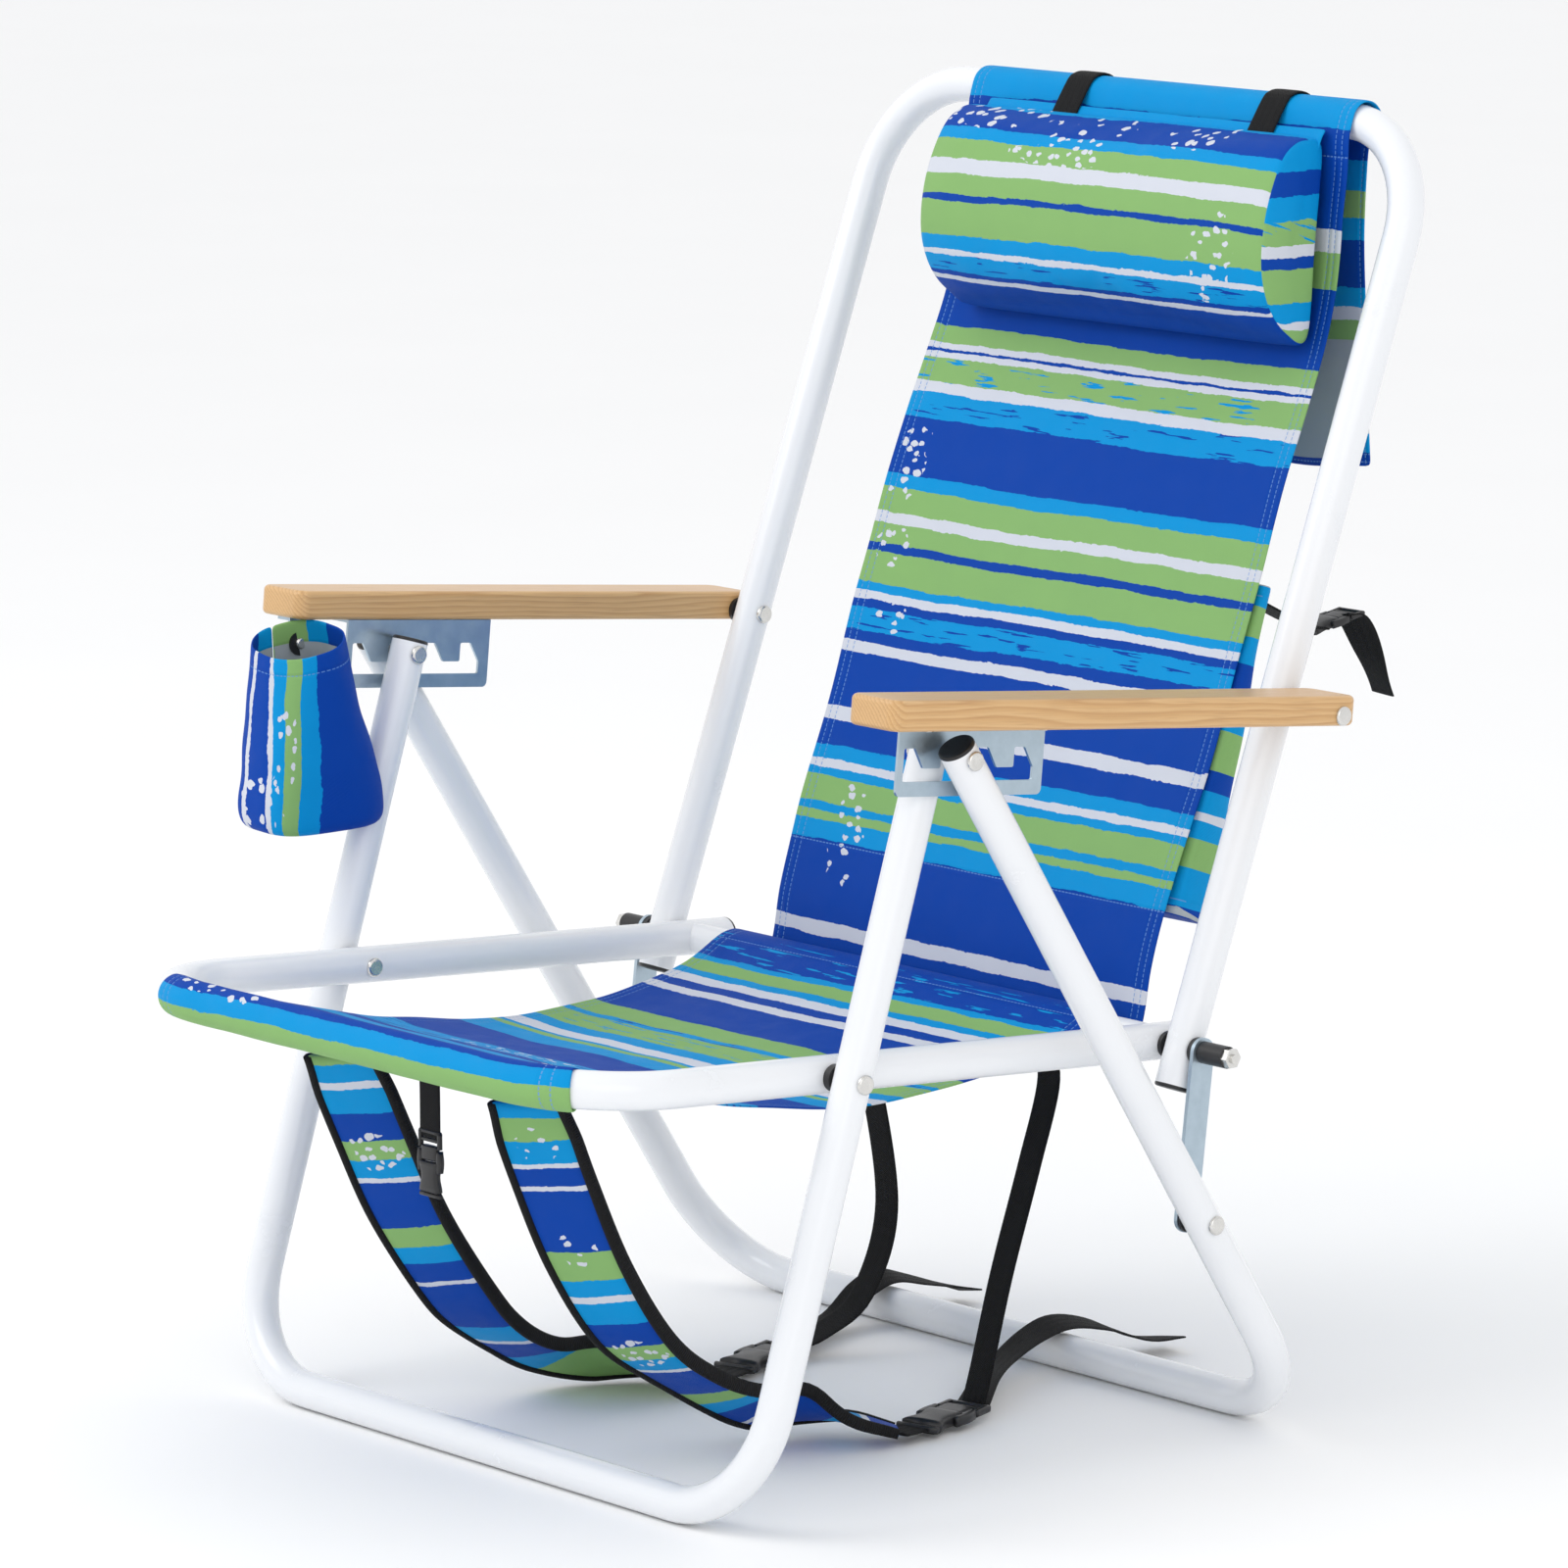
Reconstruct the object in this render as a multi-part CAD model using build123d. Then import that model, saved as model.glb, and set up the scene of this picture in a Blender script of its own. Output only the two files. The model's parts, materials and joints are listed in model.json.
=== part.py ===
from build123d import *
import os
from math import atan2, cos, degrees, hypot, radians, sin

os.makedirs("parts", exist_ok=True)

# ---------------------------------------------------------------------------
# Folding beach chair. Millimetres, +Z up, the sitter faces -Y, +X is the
# sitter's left. The origin is on the floor under the middle of the chair.
# ---------------------------------------------------------------------------

# Side-view points are measured from a line on the floor and moved by this
# much so that the chair's outer box is centred on the origin.
CENTRE_Y = 309.54


def side(y, z):
    """A side-view point, shifted into the part's frame."""
    return (y - CENTRE_Y, z)


# Tubes
TUBE_R = 12.5
TUBE_WALL = 1.2
CROSS_TUBE_R = 11.0
CAP_THICKNESS = 2.5
CAP_GAP = 0.05

# Lateral positions of the tube centrelines
SEAT_X = 240.15
BACK_X = 268.4
FRONT_LEG_X = 270.65
REAR_LEG_X = 303.0

# Side-view pivots and bars
SEAT_BACK_PIVOT = side(441.5, 269.8)
SEAT_LEG_PIVOT = side(149.33, 288.69)
LEG_PIVOT = side(214.4, 494.5)
LINK_PIVOT = side(427.36, 159.7)
ARM_PIVOT = side(524.0, 491.0)
FRONT_BAR = side(62.0, 12.5)
REAR_BAR = side(521.0, 12.5)
SEAT_FRONT_BAR = side(-46.4, 301.35)
BACK_TOP_BAR = side(663.6, 864.5)

# How far each tube runs past its last pivot, to the face the cap sits on
LEG_PAST_PIVOT = 8.0
SEAT_PAST_PIVOT = 30.5
BACK_PAST_PIVOT = 26.0

# Bend radii on the tube centrelines
LEG_BEND = 75.0
BACK_BEND = 77.0
SEAT_BEND = 75.0

# Pivot hardware
PIN_R = 3.0
RUNNING_GAP = 0.05
HEAD_R = 6.5
HEAD_HEIGHT = 2.4
SPACER_R = 9.0
LINK_THICKNESS = 3.0
LINK_WIDTH = 19.0
LINK_INNER_X = 285.0
SLEEVE_R = 7.4
SLEEVE_END_X = 311.0
NUT_R = 7.0
NUT_HEIGHT = 5.0

# Armrests
ARM_INNER_X = 284.0
ARM_WIDTH = 48.0
ARM_THICKNESS = 20.0
ARM_FRONT = side(133.0, 534.1)
ARM_REAR = side(538.5, 492.6)
ARM_CORNER = 9.0
ARM_EDGE = 3.5

# Notched brackets under the armrests, measured from the leg pivot along the
# armrest (a, rearward) and square to it (h, up)
BRACKET_INNER_X = 286.0
BRACKET_SHEET = 2.0
BRACKET_FRONT_A = -41.0
BRACKET_REAR_A = 84.0
BRACKET_BOTTOM_H = -26.0
BRACKET_FLANGE = 24.0
WINDOW_BOTTOM_H = -16.5
TOOTH_BOTTOM_H = -8.0
NOTCH_TOP_H = 5.0
NOTCH_HALF = 4.5
NOTCH_LEAN = 8.0
NOTCHES_A = (-31.5, 0.0, 31.5, 63.0)

# Fabric
SHEET = 2.4
LOOP_GAP = 0.4
SEAT_FABRIC_HALF = 194.0
BACK_FABRIC_HALF = 188.0
PILLOW_CENTRE_X = 15.0
PILLOW_HALF = 178.0
STRAP_X = 95.0
STRAP_WIDTH = 60.0
WEBBING_WIDTH = 25.0
WEBBING = 1.6


# ---------------------------------------------------------------------------
# Helpers
# ---------------------------------------------------------------------------

def unit(start, end):
    """Unit vector from one side-view point to another, and the distance."""
    dy, dz = end[0] - start[0], end[1] - start[1]
    length = hypot(dy, dz)
    return (dy / length, dz / length), length


def along(point, direction, distance):
    """The side-view point a distance from another one."""
    return (point[0] + direction[0] * distance, point[1] + direction[1] * distance)


def side_plane(x, point=(0.0, 0.0)):
    """Side-view sketch plane at x: its own x is rearward and its y is up."""
    return Plane(origin=(x, point[0], point[1]), x_dir=(0, 1, 0), z_dir=(1, 0, 0))


def rod(x0, x1, radius, centre):
    """Round bar lying along X between x0 and x1."""
    return side_plane(x0, centre) * extrude(Circle(radius), x1 - x0)


def ring(x0, x1, outer, inner, centre):
    """Washer or sleeve lying along X."""
    return side_plane(x0, centre) * extrude(Circle(outer) - Circle(inner), x1 - x0)


def dome(x, radius, height, centre, outward=1):
    """Rivet head whose flat side is at x, bulging outward along X."""
    base = Plane(origin=(x, centre[0], centre[1]), x_dir=(0, 1, 0), z_dir=(outward, 0, 0))
    head = extrude(Circle(radius), height)
    return base * fillet(head.edges().sort_by(Axis.Z)[-1:], height * 0.8)


def pair(*solids):
    """The solids and their mirror images, as one group of separate solids."""
    both = []
    for solid in solids:
        both += solid.solids()
        both += mirror(solid, about=Plane.YZ).solids()
    return Compound(children=both)


def mirrored(shape):
    """The same shape on the other side of the chair."""
    return mirror(shape, about=Plane.YZ)


def u_tube(half_width, bar, direction, leg_length, bend):
    """Tube bent to a U: a cross bar at a side-view point, and two legs."""
    plane = Plane(
        origin=(0, bar[0], bar[1]),
        x_dir=(1, 0, 0),
        z_dir=(0, -direction[1], direction[0]),
    )
    path = plane * FilletPolyline(
        (half_width, leg_length),
        (half_width, 0),
        (-half_width, 0),
        (-half_width, leg_length),
        radius=bend,
    )
    section = Plane(origin=path @ 0, z_dir=path % 0)
    return sweep(section * (Circle(TUBE_R) - Circle(TUBE_R - TUBE_WALL)), path=path)


def end_cap(x, end, direction, plug):
    """Plastic cap on a tube end, with a plug that reaches into the tube."""
    disc = extrude(Circle(TUBE_R), CAP_THICKNESS)
    disc = fillet(disc.edges().sort_by(Axis.Z)[-1:], CAP_THICKNESS * 0.7)
    stem = extrude(Circle(TUBE_R - TUBE_WALL - CAP_GAP), -plug)
    base = Plane(origin=(x, end[0], end[1]), x_dir=(1, 0, 0), z_dir=(0, direction[0], direction[1]))
    return base * (disc + stem)


def band(centreline, thickness, x0, x1):
    """Strip of cloth or webbing: a side-view centreline given a thickness and a width."""
    upper, lower = [], []
    for i, point in enumerate(centreline):
        before = centreline[max(i - 1, 0)]
        after = centreline[min(i + 1, len(centreline) - 1)]
        (ty, tz), _ = unit(before, after)
        upper.append(along(point, (-tz, ty), thickness / 2))
        lower.append(along(point, (tz, -ty), thickness / 2))
    outline = [
        Spline(*upper),
        Line(upper[-1], lower[-1]),
        Spline(*lower[::-1]),
        Line(lower[0], upper[0]),
    ]
    return side_plane(x0) * extrude(make_face(outline), x1 - x0)


def save(name, shape):
    """Write one node."""
    export_step(shape, f"parts/{name}.step")


# Directions of the straight runs, from the bar towards the free end
seat_dir, seat_run = unit(SEAT_FRONT_BAR, SEAT_BACK_PIVOT)
back_dir, back_run = unit(BACK_TOP_BAR, SEAT_BACK_PIVOT)
front_dir, front_run = unit(FRONT_BAR, LEG_PIVOT)
rear_dir, rear_run = unit(REAR_BAR, LEG_PIVOT)
arm_dir, arm_length = unit(ARM_FRONT, ARM_REAR)
arm_up = (-arm_dir[1], arm_dir[0])
pin_hole = PIN_R + RUNNING_GAP


def back_point(up, forward):
    """Side-view point measured up the back from its pivot and forward of it."""
    start = along(SEAT_BACK_PIVOT, back_dir, -up)
    return along(start, (back_dir[1], -back_dir[0]), forward)


def arm_point(a, h):
    """Side-view point measured from the leg pivot along and above the armrest."""
    return along(along(LEG_PIVOT, arm_dir, a), arm_up, h)


def drilled(tube, centre):
    """The tube with a pin hole right across the chair."""
    return tube - rod(-400, 400, pin_hole, centre)


# ---------------------------------------------------------------------------
# Seat
# ---------------------------------------------------------------------------

seat_frame = u_tube(SEAT_X, SEAT_FRONT_BAR, seat_dir, seat_run + SEAT_PAST_PIVOT, SEAT_BEND)
seat_frame = drilled(seat_frame, SEAT_BACK_PIVOT)
seat_frame = drilled(seat_frame, SEAT_LEG_PIVOT)
save("seat_frame", seat_frame)

seat_end = along(SEAT_BACK_PIVOT, seat_dir, SEAT_PAST_PIVOT)
save("seat_rail_caps", pair(end_cap(SEAT_X, seat_end, seat_dir, 10)))

# The rear cross tube is on the back's pivot axis; its ends meet the round rails
cross_tube = ring(-SEAT_X, SEAT_X, CROSS_TUBE_R, CROSS_TUBE_R - TUBE_WALL, SEAT_BACK_PIVOT)
rail_run = Plane(
    origin=(SEAT_X, SEAT_FRONT_BAR[0], SEAT_FRONT_BAR[1]),
    x_dir=(1, 0, 0),
    z_dir=(0, seat_dir[0], seat_dir[1]),
)
rail_room = rail_run * extrude(Circle(TUBE_R + 0.02), seat_run + 100)
cross_tube = cross_tube - rail_room - mirrored(rail_room)
cross_tube = cross_tube.solids().sort_by(SortBy.VOLUME)[-1]
save("seat_cross_tube", cross_tube)

plug_end = SEAT_X - TUBE_R - 2.0
cross_plug = ring(
    plug_end - 16,
    plug_end,
    CROSS_TUBE_R - TUBE_WALL - RUNNING_GAP,
    pin_hole,
    SEAT_BACK_PIVOT,
)
save("cross_tube_plugs", pair(cross_plug))

# Bolts on which the back, the links and the sleeves sit
back_bolt = rod(plug_end - 14, SLEEVE_END_X + NUT_HEIGHT + 2, PIN_R, SEAT_BACK_PIVOT)
save("back_pivot_bolts", pair(back_bolt))

rail_face = SEAT_X + TUBE_R
back_face = BACK_X - TUBE_R
save(
    "back_pivot_washers",
    pair(ring(rail_face, back_face - 0.1, SPACER_R, pin_hole, SEAT_BACK_PIVOT)),
)
link_outer = LINK_INNER_X + LINK_THICKNESS
save(
    "leg_stop_sleeves",
    pair(ring(link_outer + 0.2, SLEEVE_END_X, SLEEVE_R, pin_hole, SEAT_BACK_PIVOT)),
)
nut = side_plane(SLEEVE_END_X, SEAT_BACK_PIVOT) * extrude(
    RegularPolygon(NUT_R, 6) - Circle(pin_hole), NUT_HEIGHT
)
save("back_pivot_nuts", pair(nut))

# Rivets on which the front legs turn, and the black spacers beside the rails
leg_face = FRONT_LEG_X - TUBE_R
leg_outer = FRONT_LEG_X + TUBE_R
leg_rivet = rod(SEAT_X - TUBE_R - 1, leg_outer + 1, PIN_R, SEAT_LEG_PIVOT)
leg_rivet += dome(leg_outer + 0.1, HEAD_R, HEAD_HEIGHT, SEAT_LEG_PIVOT)
leg_rivet += dome(SEAT_X - TUBE_R, HEAD_R, HEAD_HEIGHT, SEAT_LEG_PIVOT, outward=-1)
save("front_leg_rivets", pair(leg_rivet))
save(
    "front_leg_spacers",
    pair(ring(rail_face, leg_face - 0.1, SPACER_R, pin_hole, SEAT_LEG_PIVOT)),
)

# Seat cloth: a loop round the front bar, a sagging sheet, a loop round the
# cross tube
front_loop = SHEET / 2 + TUBE_R + LOOP_GAP
rear_loop = SHEET / 2 + CROSS_TUBE_R + LOOP_GAP
seat_sheet_line = [
    along(SEAT_FRONT_BAR, (0.10, 0.995), front_loop),
    side(-20, 305),
    side(30, 287),
    side(85, 271),
    side(145, 256),
    side(215, 247),
    side(275, 246),
    side(340, 252),
    side(396, 262),
    along(SEAT_BACK_PIVOT, (-0.80, 0.60), rear_loop),
]
seat_sling = band(seat_sheet_line, SHEET, -SEAT_FABRIC_HALF, SEAT_FABRIC_HALF)
seat_sling += ring(
    -SEAT_FABRIC_HALF,
    SEAT_FABRIC_HALF,
    front_loop + SHEET / 2,
    front_loop - SHEET / 2,
    SEAT_FRONT_BAR,
)
seat_sling += ring(
    -SEAT_FABRIC_HALF,
    SEAT_FABRIC_HALF,
    rear_loop + SHEET / 2,
    rear_loop - SHEET / 2,
    SEAT_BACK_PIVOT,
)
seat_sling -= rod(-300, 300, TUBE_R + LOOP_GAP, SEAT_FRONT_BAR)
seat_sling -= rod(-300, 300, CROSS_TUBE_R + LOOP_GAP, SEAT_BACK_PIVOT)
# The cloth is cut away where the front bar bends into the side rails
corner_x = SEAT_X - SEAT_BEND - 2
corner_y, corner_z = along(SEAT_FRONT_BAR, seat_dir, 32)
corner_room = Pos((corner_x + 260) / 2, corner_y - 50, corner_z) * Box(260 - corner_x, 100, 100)
seat_sling = seat_sling - corner_room - mirrored(corner_room)
save("seat_sling", seat_sling)

# Carrying straps under the seat. Padded strap at the front, webbing behind.
strap_line = [side(26, 262), side(58, 205), side(105, 130), side(165, 70), side(228, 44)]
webbing_line = [side(271, 58), side(310, 92), side(360, 146), side(402, 206), side(431, 250)]
strap_edges = (STRAP_X - STRAP_WIDTH / 2, STRAP_X + STRAP_WIDTH / 2)
webbing_edges = (STRAP_X - WEBBING_WIDTH / 2, STRAP_X + WEBBING_WIDTH / 2)
shoulder_strap = band(strap_line, 8, *strap_edges)
webbing = band(webbing_line, WEBBING, *webbing_edges)
buckle = band([side(231, 43.5), side(250, 47), side(269, 56)], 9, STRAP_X - 18, STRAP_X + 18)
save("shoulder_strap_left", shoulder_strap)
save("shoulder_strap_right", mirrored(shoulder_strap))
save("strap_webbing_left", webbing)
save("strap_webbing_right", mirrored(webbing))
save("strap_buckles", pair(buckle))
centre_strap = band([side(18, 271), side(19, 250), side(19, 232)], WEBBING, -12.5, 12.5)
centre_buckle = band([side(19, 231), side(19, 212), side(19, 194)], 8, -17, 17)
save("centre_strap", centre_strap)
save("centre_buckle", centre_buckle)

# ---------------------------------------------------------------------------
# Back
# ---------------------------------------------------------------------------

back_frame = u_tube(BACK_X, BACK_TOP_BAR, back_dir, back_run + BACK_PAST_PIVOT, BACK_BEND)
back_frame = drilled(back_frame, SEAT_BACK_PIVOT)
back_frame = drilled(back_frame, ARM_PIVOT)
save("back_frame", back_frame)
back_end = along(SEAT_BACK_PIVOT, back_dir, BACK_PAST_PIVOT)
save("back_frame_caps", pair(end_cap(BACK_X, back_end, back_dir, 10)))

# Bushes between the back tubes and the links
back_outer = BACK_X + TUBE_R
save(
    "back_pivot_bushes",
    pair(ring(back_outer + 0.1, LINK_INNER_X - 0.1, SPACER_R, pin_hole, SEAT_BACK_PIVOT)),
)

# Back cloth: a loop round the top bar and a sheet down to the seat
back_up = hypot(BACK_TOP_BAR[0] - SEAT_BACK_PIVOT[0], BACK_TOP_BAR[1] - SEAT_BACK_PIVOT[1])
back_sheet_line = [
    back_point(back_up, front_loop),
    back_point(590, 9),
    back_point(520, 2),
    back_point(430, -5),
    back_point(320, -11),
    back_point(200, -13),
    back_point(100, -9),
    back_point(24, -1),
]
back_sling = band(back_sheet_line, SHEET, -BACK_FABRIC_HALF, BACK_FABRIC_HALF)
back_sling += ring(
    -BACK_FABRIC_HALF,
    BACK_FABRIC_HALF,
    front_loop + SHEET / 2,
    front_loop - SHEET / 2,
    BACK_TOP_BAR,
)
back_sling -= rod(-300, 300, TUBE_R + LOOP_GAP, BACK_TOP_BAR)
save("back_sling", back_sling)

# Head pillow: flat behind, half round in front
pillow_low, pillow_high = 478.0, 614.0
pillow_back, pillow_front = 19.0, 84.0
pillow_outline = [
    Line(back_point(pillow_low, pillow_back), back_point(pillow_high, pillow_back)),
    Spline(
        back_point(pillow_high, pillow_back),
        back_point(pillow_high - 18, pillow_front - 26),
        back_point((pillow_low + pillow_high) / 2, pillow_front),
        back_point(pillow_low + 18, pillow_front - 26),
        back_point(pillow_low, pillow_back),
    ),
]
pillow_x = (PILLOW_CENTRE_X - PILLOW_HALF, PILLOW_CENTRE_X + PILLOW_HALF)
head_pillow = side_plane(pillow_x[0]) * extrude(
    make_face(pillow_outline), pillow_x[1] - pillow_x[0]
)
save("head_pillow", head_pillow)

# Two webbing loops that hang the pillow on the top bar
loop_r = front_loop + SHEET / 2 + 0.4 + WEBBING / 2


def rail_point(angle, radius):
    """Side-view point round the top bar; 0 is forward and 90 is up the back."""
    forward = radius * cos(radians(angle))
    up = radius * sin(radians(angle))
    return back_point(back_up + up, forward)


hanger_line = [back_point(616.5, 19.5)]
hanger_line += [rail_point(angle, loop_r) for angle in (20, 45, 70, 95, 120, 145, 170)]
hanger_line += [back_point(600, -loop_r - 2), back_point(565, -loop_r - 3)]
hanger_offset = 96.5
hangers = []
for offset in (-hanger_offset, hanger_offset):
    middle = PILLOW_CENTRE_X + offset
    hangers += band(hanger_line, WEBBING, middle - 12.5, middle + 12.5).solids()
save("pillow_hangers", Compound(children=hangers))

# Storage bag behind the back, its lid, and the strap that closes it
storage_outline = [
    Spline(
        back_point(92, -26),
        back_point(120, -50),
        back_point(200, -60),
        back_point(290, -46),
        back_point(316, -24),
    ),
    Line(back_point(316, -24), back_point(92, -26)),
]
storage_bag = side_plane(-198) * extrude(make_face(storage_outline), 396)
save("storage_bag", storage_bag)
lid_line = [
    back_point(612, -24),
    back_point(560, -31),
    back_point(500, -42),
    back_point(450, -52),
    back_point(412, -62),
]
save("storage_lid", band(lid_line, SHEET, -200, 200))
storage_strap_line = [
    back_point(322, -30),
    back_point(330, -52),
    back_point(336, -76),
    back_point(326, -104),
    back_point(300, -120),
]
save("storage_strap", band(storage_strap_line, WEBBING, 118, 143))

# Rivets on which the armrests turn
arm_outer_x = ARM_INNER_X + ARM_WIDTH
arm_rivet = rod(back_face - 1, arm_outer_x + 1, PIN_R, ARM_PIVOT)
arm_rivet += dome(arm_outer_x + 0.1, HEAD_R, HEAD_HEIGHT, ARM_PIVOT)
arm_rivet += dome(back_face, HEAD_R, HEAD_HEIGHT, ARM_PIVOT, outward=-1)
save("armrest_rivets", pair(arm_rivet))
arm_bush = ring(back_outer + 0.1, ARM_INNER_X - 0.1, SPACER_R, pin_hole, ARM_PIVOT)
save("armrest_bushes", pair(arm_bush))

# ---------------------------------------------------------------------------
# Armrests and their notched brackets
# ---------------------------------------------------------------------------

arm_centre = ((ARM_FRONT[0] + ARM_REAR[0]) / 2, (ARM_FRONT[1] + ARM_REAR[1]) / 2)
arm_plane = Plane(
    origin=(ARM_INNER_X + ARM_WIDTH / 2, arm_centre[0], arm_centre[1]),
    x_dir=(1, 0, 0),
    z_dir=(0, arm_up[0], arm_up[1]),
)
arm_board = extrude(
    RectangleRounded(ARM_WIDTH, arm_length, ARM_CORNER), ARM_THICKNESS / 2, both=True
)
arm_rims = arm_board.faces().sort_by(Axis.Z)[-1].edges() + arm_board.faces().sort_by(Axis.Z)[0].edges()
arm_board = fillet(arm_rims, ARM_EDGE)
arm_board = arm_plane * arm_board
arm_board -= rod(ARM_INNER_X - 5, arm_outer_x + 5, pin_hole, ARM_PIVOT)

# Height of the armrest's underside above the leg pivot
to_centre = (arm_centre[0] - LEG_PIVOT[0], arm_centre[1] - LEG_PIVOT[1])
underside_h = to_centre[0] * arm_up[0] + to_centre[1] * arm_up[1] - ARM_THICKNESS / 2


def arm_sketch_plane(x):
    """Sketch plane square across the chair, in armrest coordinates."""
    return Plane(
        origin=(x, LEG_PIVOT[0], LEG_PIVOT[1]),
        x_dir=(0, arm_dir[0], arm_dir[1]),
        z_dir=(1, 0, 0),
    )


def window_points():
    """Corner points of the window: four notches above one open channel."""
    points = [(NOTCHES_A[0] - NOTCH_HALF, WINDOW_BOTTOM_H)]
    for number, middle in enumerate(NOTCHES_A):
        points.append((middle - NOTCH_HALF, TOOTH_BOTTOM_H if number else WINDOW_BOTTOM_H + 4))
        points.append((middle - NOTCH_HALF, NOTCH_TOP_H))
        points.append((middle + NOTCH_HALF, NOTCH_TOP_H))
        points.append((middle + NOTCH_HALF + NOTCH_LEAN, TOOTH_BOTTOM_H))
    points.append((NOTCHES_A[-1] + NOTCH_HALF + NOTCH_LEAN, WINDOW_BOTTOM_H))
    return points


plate_length = BRACKET_REAR_A - BRACKET_FRONT_A
plate_height = underside_h - BRACKET_BOTTOM_H
plate_centre = (
    (BRACKET_REAR_A + BRACKET_FRONT_A) / 2,
    (underside_h + BRACKET_BOTTOM_H) / 2,
)
plate = Pos(plate_centre[0], plate_centre[1]) * RectangleRounded(plate_length, plate_height, 4)
square_top = Pos(plate_centre[0], underside_h - 5) * Rectangle(plate_length, 10)
window = make_face(Polyline(*window_points(), close=True))
window = fillet(window.vertices(), 1.4)
bracket = extrude(plate + square_top - window, BRACKET_SHEET)
flange_area = Pos(plate_centre[0], underside_h - BRACKET_SHEET / 2) * Rectangle(
    plate_length, BRACKET_SHEET
)
bracket += extrude(flange_area, BRACKET_FLANGE)
screw_spots = (-28.0, 70.0)
screw_x = BRACKET_INNER_X + 14.0


def arm_screw_frame(a, h, x):
    """Frame on the armrest's underside looking down out of the wood."""
    y, z = arm_point(a, h)
    return Plane(origin=(x, y, z), x_dir=(1, 0, 0), z_dir=(0, -arm_up[0], -arm_up[1]))


bracket = arm_sketch_plane(BRACKET_INNER_X) * bracket
screws = []
for a in screw_spots:
    frame_at = arm_screw_frame(a, underside_h, screw_x)
    hole = frame_at * extrude(Circle(2.05), 6, both=True)
    deep_hole = frame_at * extrude(Circle(2.05), -13)
    bracket -= hole
    arm_board -= deep_hole
    head = extrude(Circle(4.0), 2.0)
    head = fillet(head.edges().sort_by(Axis.Z)[-1:], 1.2)
    shank = extrude(Circle(2.0), -14)
    screws.append(arm_screw_frame(a, underside_h - BRACKET_SHEET, screw_x) * (head + shank))
save("bracket_left", bracket)
save("bracket_right", mirrored(bracket))
screw_group = Compound(children=[s for screw in screws for s in screw.solids()])
save("bracket_screws_left", screw_group)
save(
    "bracket_screws_right",
    Compound(children=[s for screw in screws for s in mirrored(screw).solids()]),
)

# Phone and cup pouch under the front of the right armrest: a steel hanger, an
# open pouch and the screw that holds it
HANGER_A = -74.0
hanger_x = ARM_INNER_X + 15.0
hanger_tab = Pos(HANGER_A, underside_h - 17) * RectangleRounded(15, 34, 3)
hanger = extrude(hanger_tab + Pos(HANGER_A, underside_h - 5) * Rectangle(15, 10), BRACKET_SHEET)
hanger += extrude(Pos(HANGER_A, underside_h - 1) * Rectangle(15, 2), 14)
hanger = arm_sketch_plane(hanger_x) * hanger
pouch_screw_at = arm_point(HANGER_A, underside_h - 17)
hanger -= rod(hanger_x - 1, hanger_x + 4, 2.05, pouch_screw_at)
save("pouch_hanger", mirrored(hanger))
save("armrest_left", arm_board)
save("armrest_right", mirrored(arm_board))

POUCH_WALL = 1.8
pouch_outer_x = hanger_x - 0.15
pouch_sections = []
for depth, front_y, rear_y, inner_x in (
    (372.0, 62.0, 121.0, 240.0),
    (440.0, 80.0, 142.0, 236.0),
    (506.0, 101.0, 162.0, 243.0),
):
    pouch_sections.append((depth, front_y - CENTRE_Y, rear_y - CENTRE_Y, inner_x))


def pouch_block(inset, low, high):
    """Tapered pouch volume, inset on all walls."""
    faces = []
    for z, y0, y1, x0 in pouch_sections:
        z_at = min(max(z, low), high)
        width = pouch_outer_x - x0 - 2 * inset
        length = y1 - y0 - 2 * inset
        centre = Pos((pouch_outer_x + x0) / 2, (y0 + y1) / 2, z_at)
        faces.append(centre * RectangleRounded(width, length, 12 - inset))
    return loft(faces)


pouch = pouch_block(0, 372.0, 506.0) - pouch_block(POUCH_WALL, 374.0, 506.5)
pouch = pouch - rod(hanger_x - 4, hanger_x + 1, 2.05, pouch_screw_at)
pouch = pouch.solids().sort_by(SortBy.VOLUME)[-1]
save("cup_pouch", mirrored(pouch))
pouch_screw = rod(hanger_x - 3.6, hanger_x + 4.5, 2.0, pouch_screw_at)
pouch_screw += dome(hanger_x - 3.6, 4.2, 2.2, pouch_screw_at, outward=-1)
save("pouch_screw", mirrored(pouch_screw))
pouch_washer = ring(
    pouch_outer_x - POUCH_WALL - 1.55,
    pouch_outer_x - POUCH_WALL - 0.05,
    8.5,
    2.05,
    pouch_screw_at,
)
save("pouch_washer", mirrored(pouch_washer))

# ---------------------------------------------------------------------------
# Legs and links
# ---------------------------------------------------------------------------

front_leg = u_tube(
    FRONT_LEG_X, FRONT_BAR, front_dir, front_run + LEG_PAST_PIVOT, LEG_BEND
)
front_leg = drilled(front_leg, LEG_PIVOT)
front_leg = drilled(front_leg, SEAT_LEG_PIVOT)
save("front_leg_frame", front_leg)
front_end = along(LEG_PIVOT, front_dir, LEG_PAST_PIVOT)
save("front_leg_caps", pair(end_cap(FRONT_LEG_X, front_end, front_dir, 3.5)))

rear_leg = u_tube(REAR_LEG_X, REAR_BAR, rear_dir, rear_run + LEG_PAST_PIVOT, LEG_BEND)
rear_leg = drilled(rear_leg, LEG_PIVOT)
rear_leg = drilled(rear_leg, LINK_PIVOT)
save("rear_leg_frame", rear_leg)
rear_end = along(LEG_PIVOT, rear_dir, LEG_PAST_PIVOT)
save("rear_leg_caps", pair(end_cap(REAR_LEG_X, rear_end, rear_dir, 3.5)))

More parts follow.
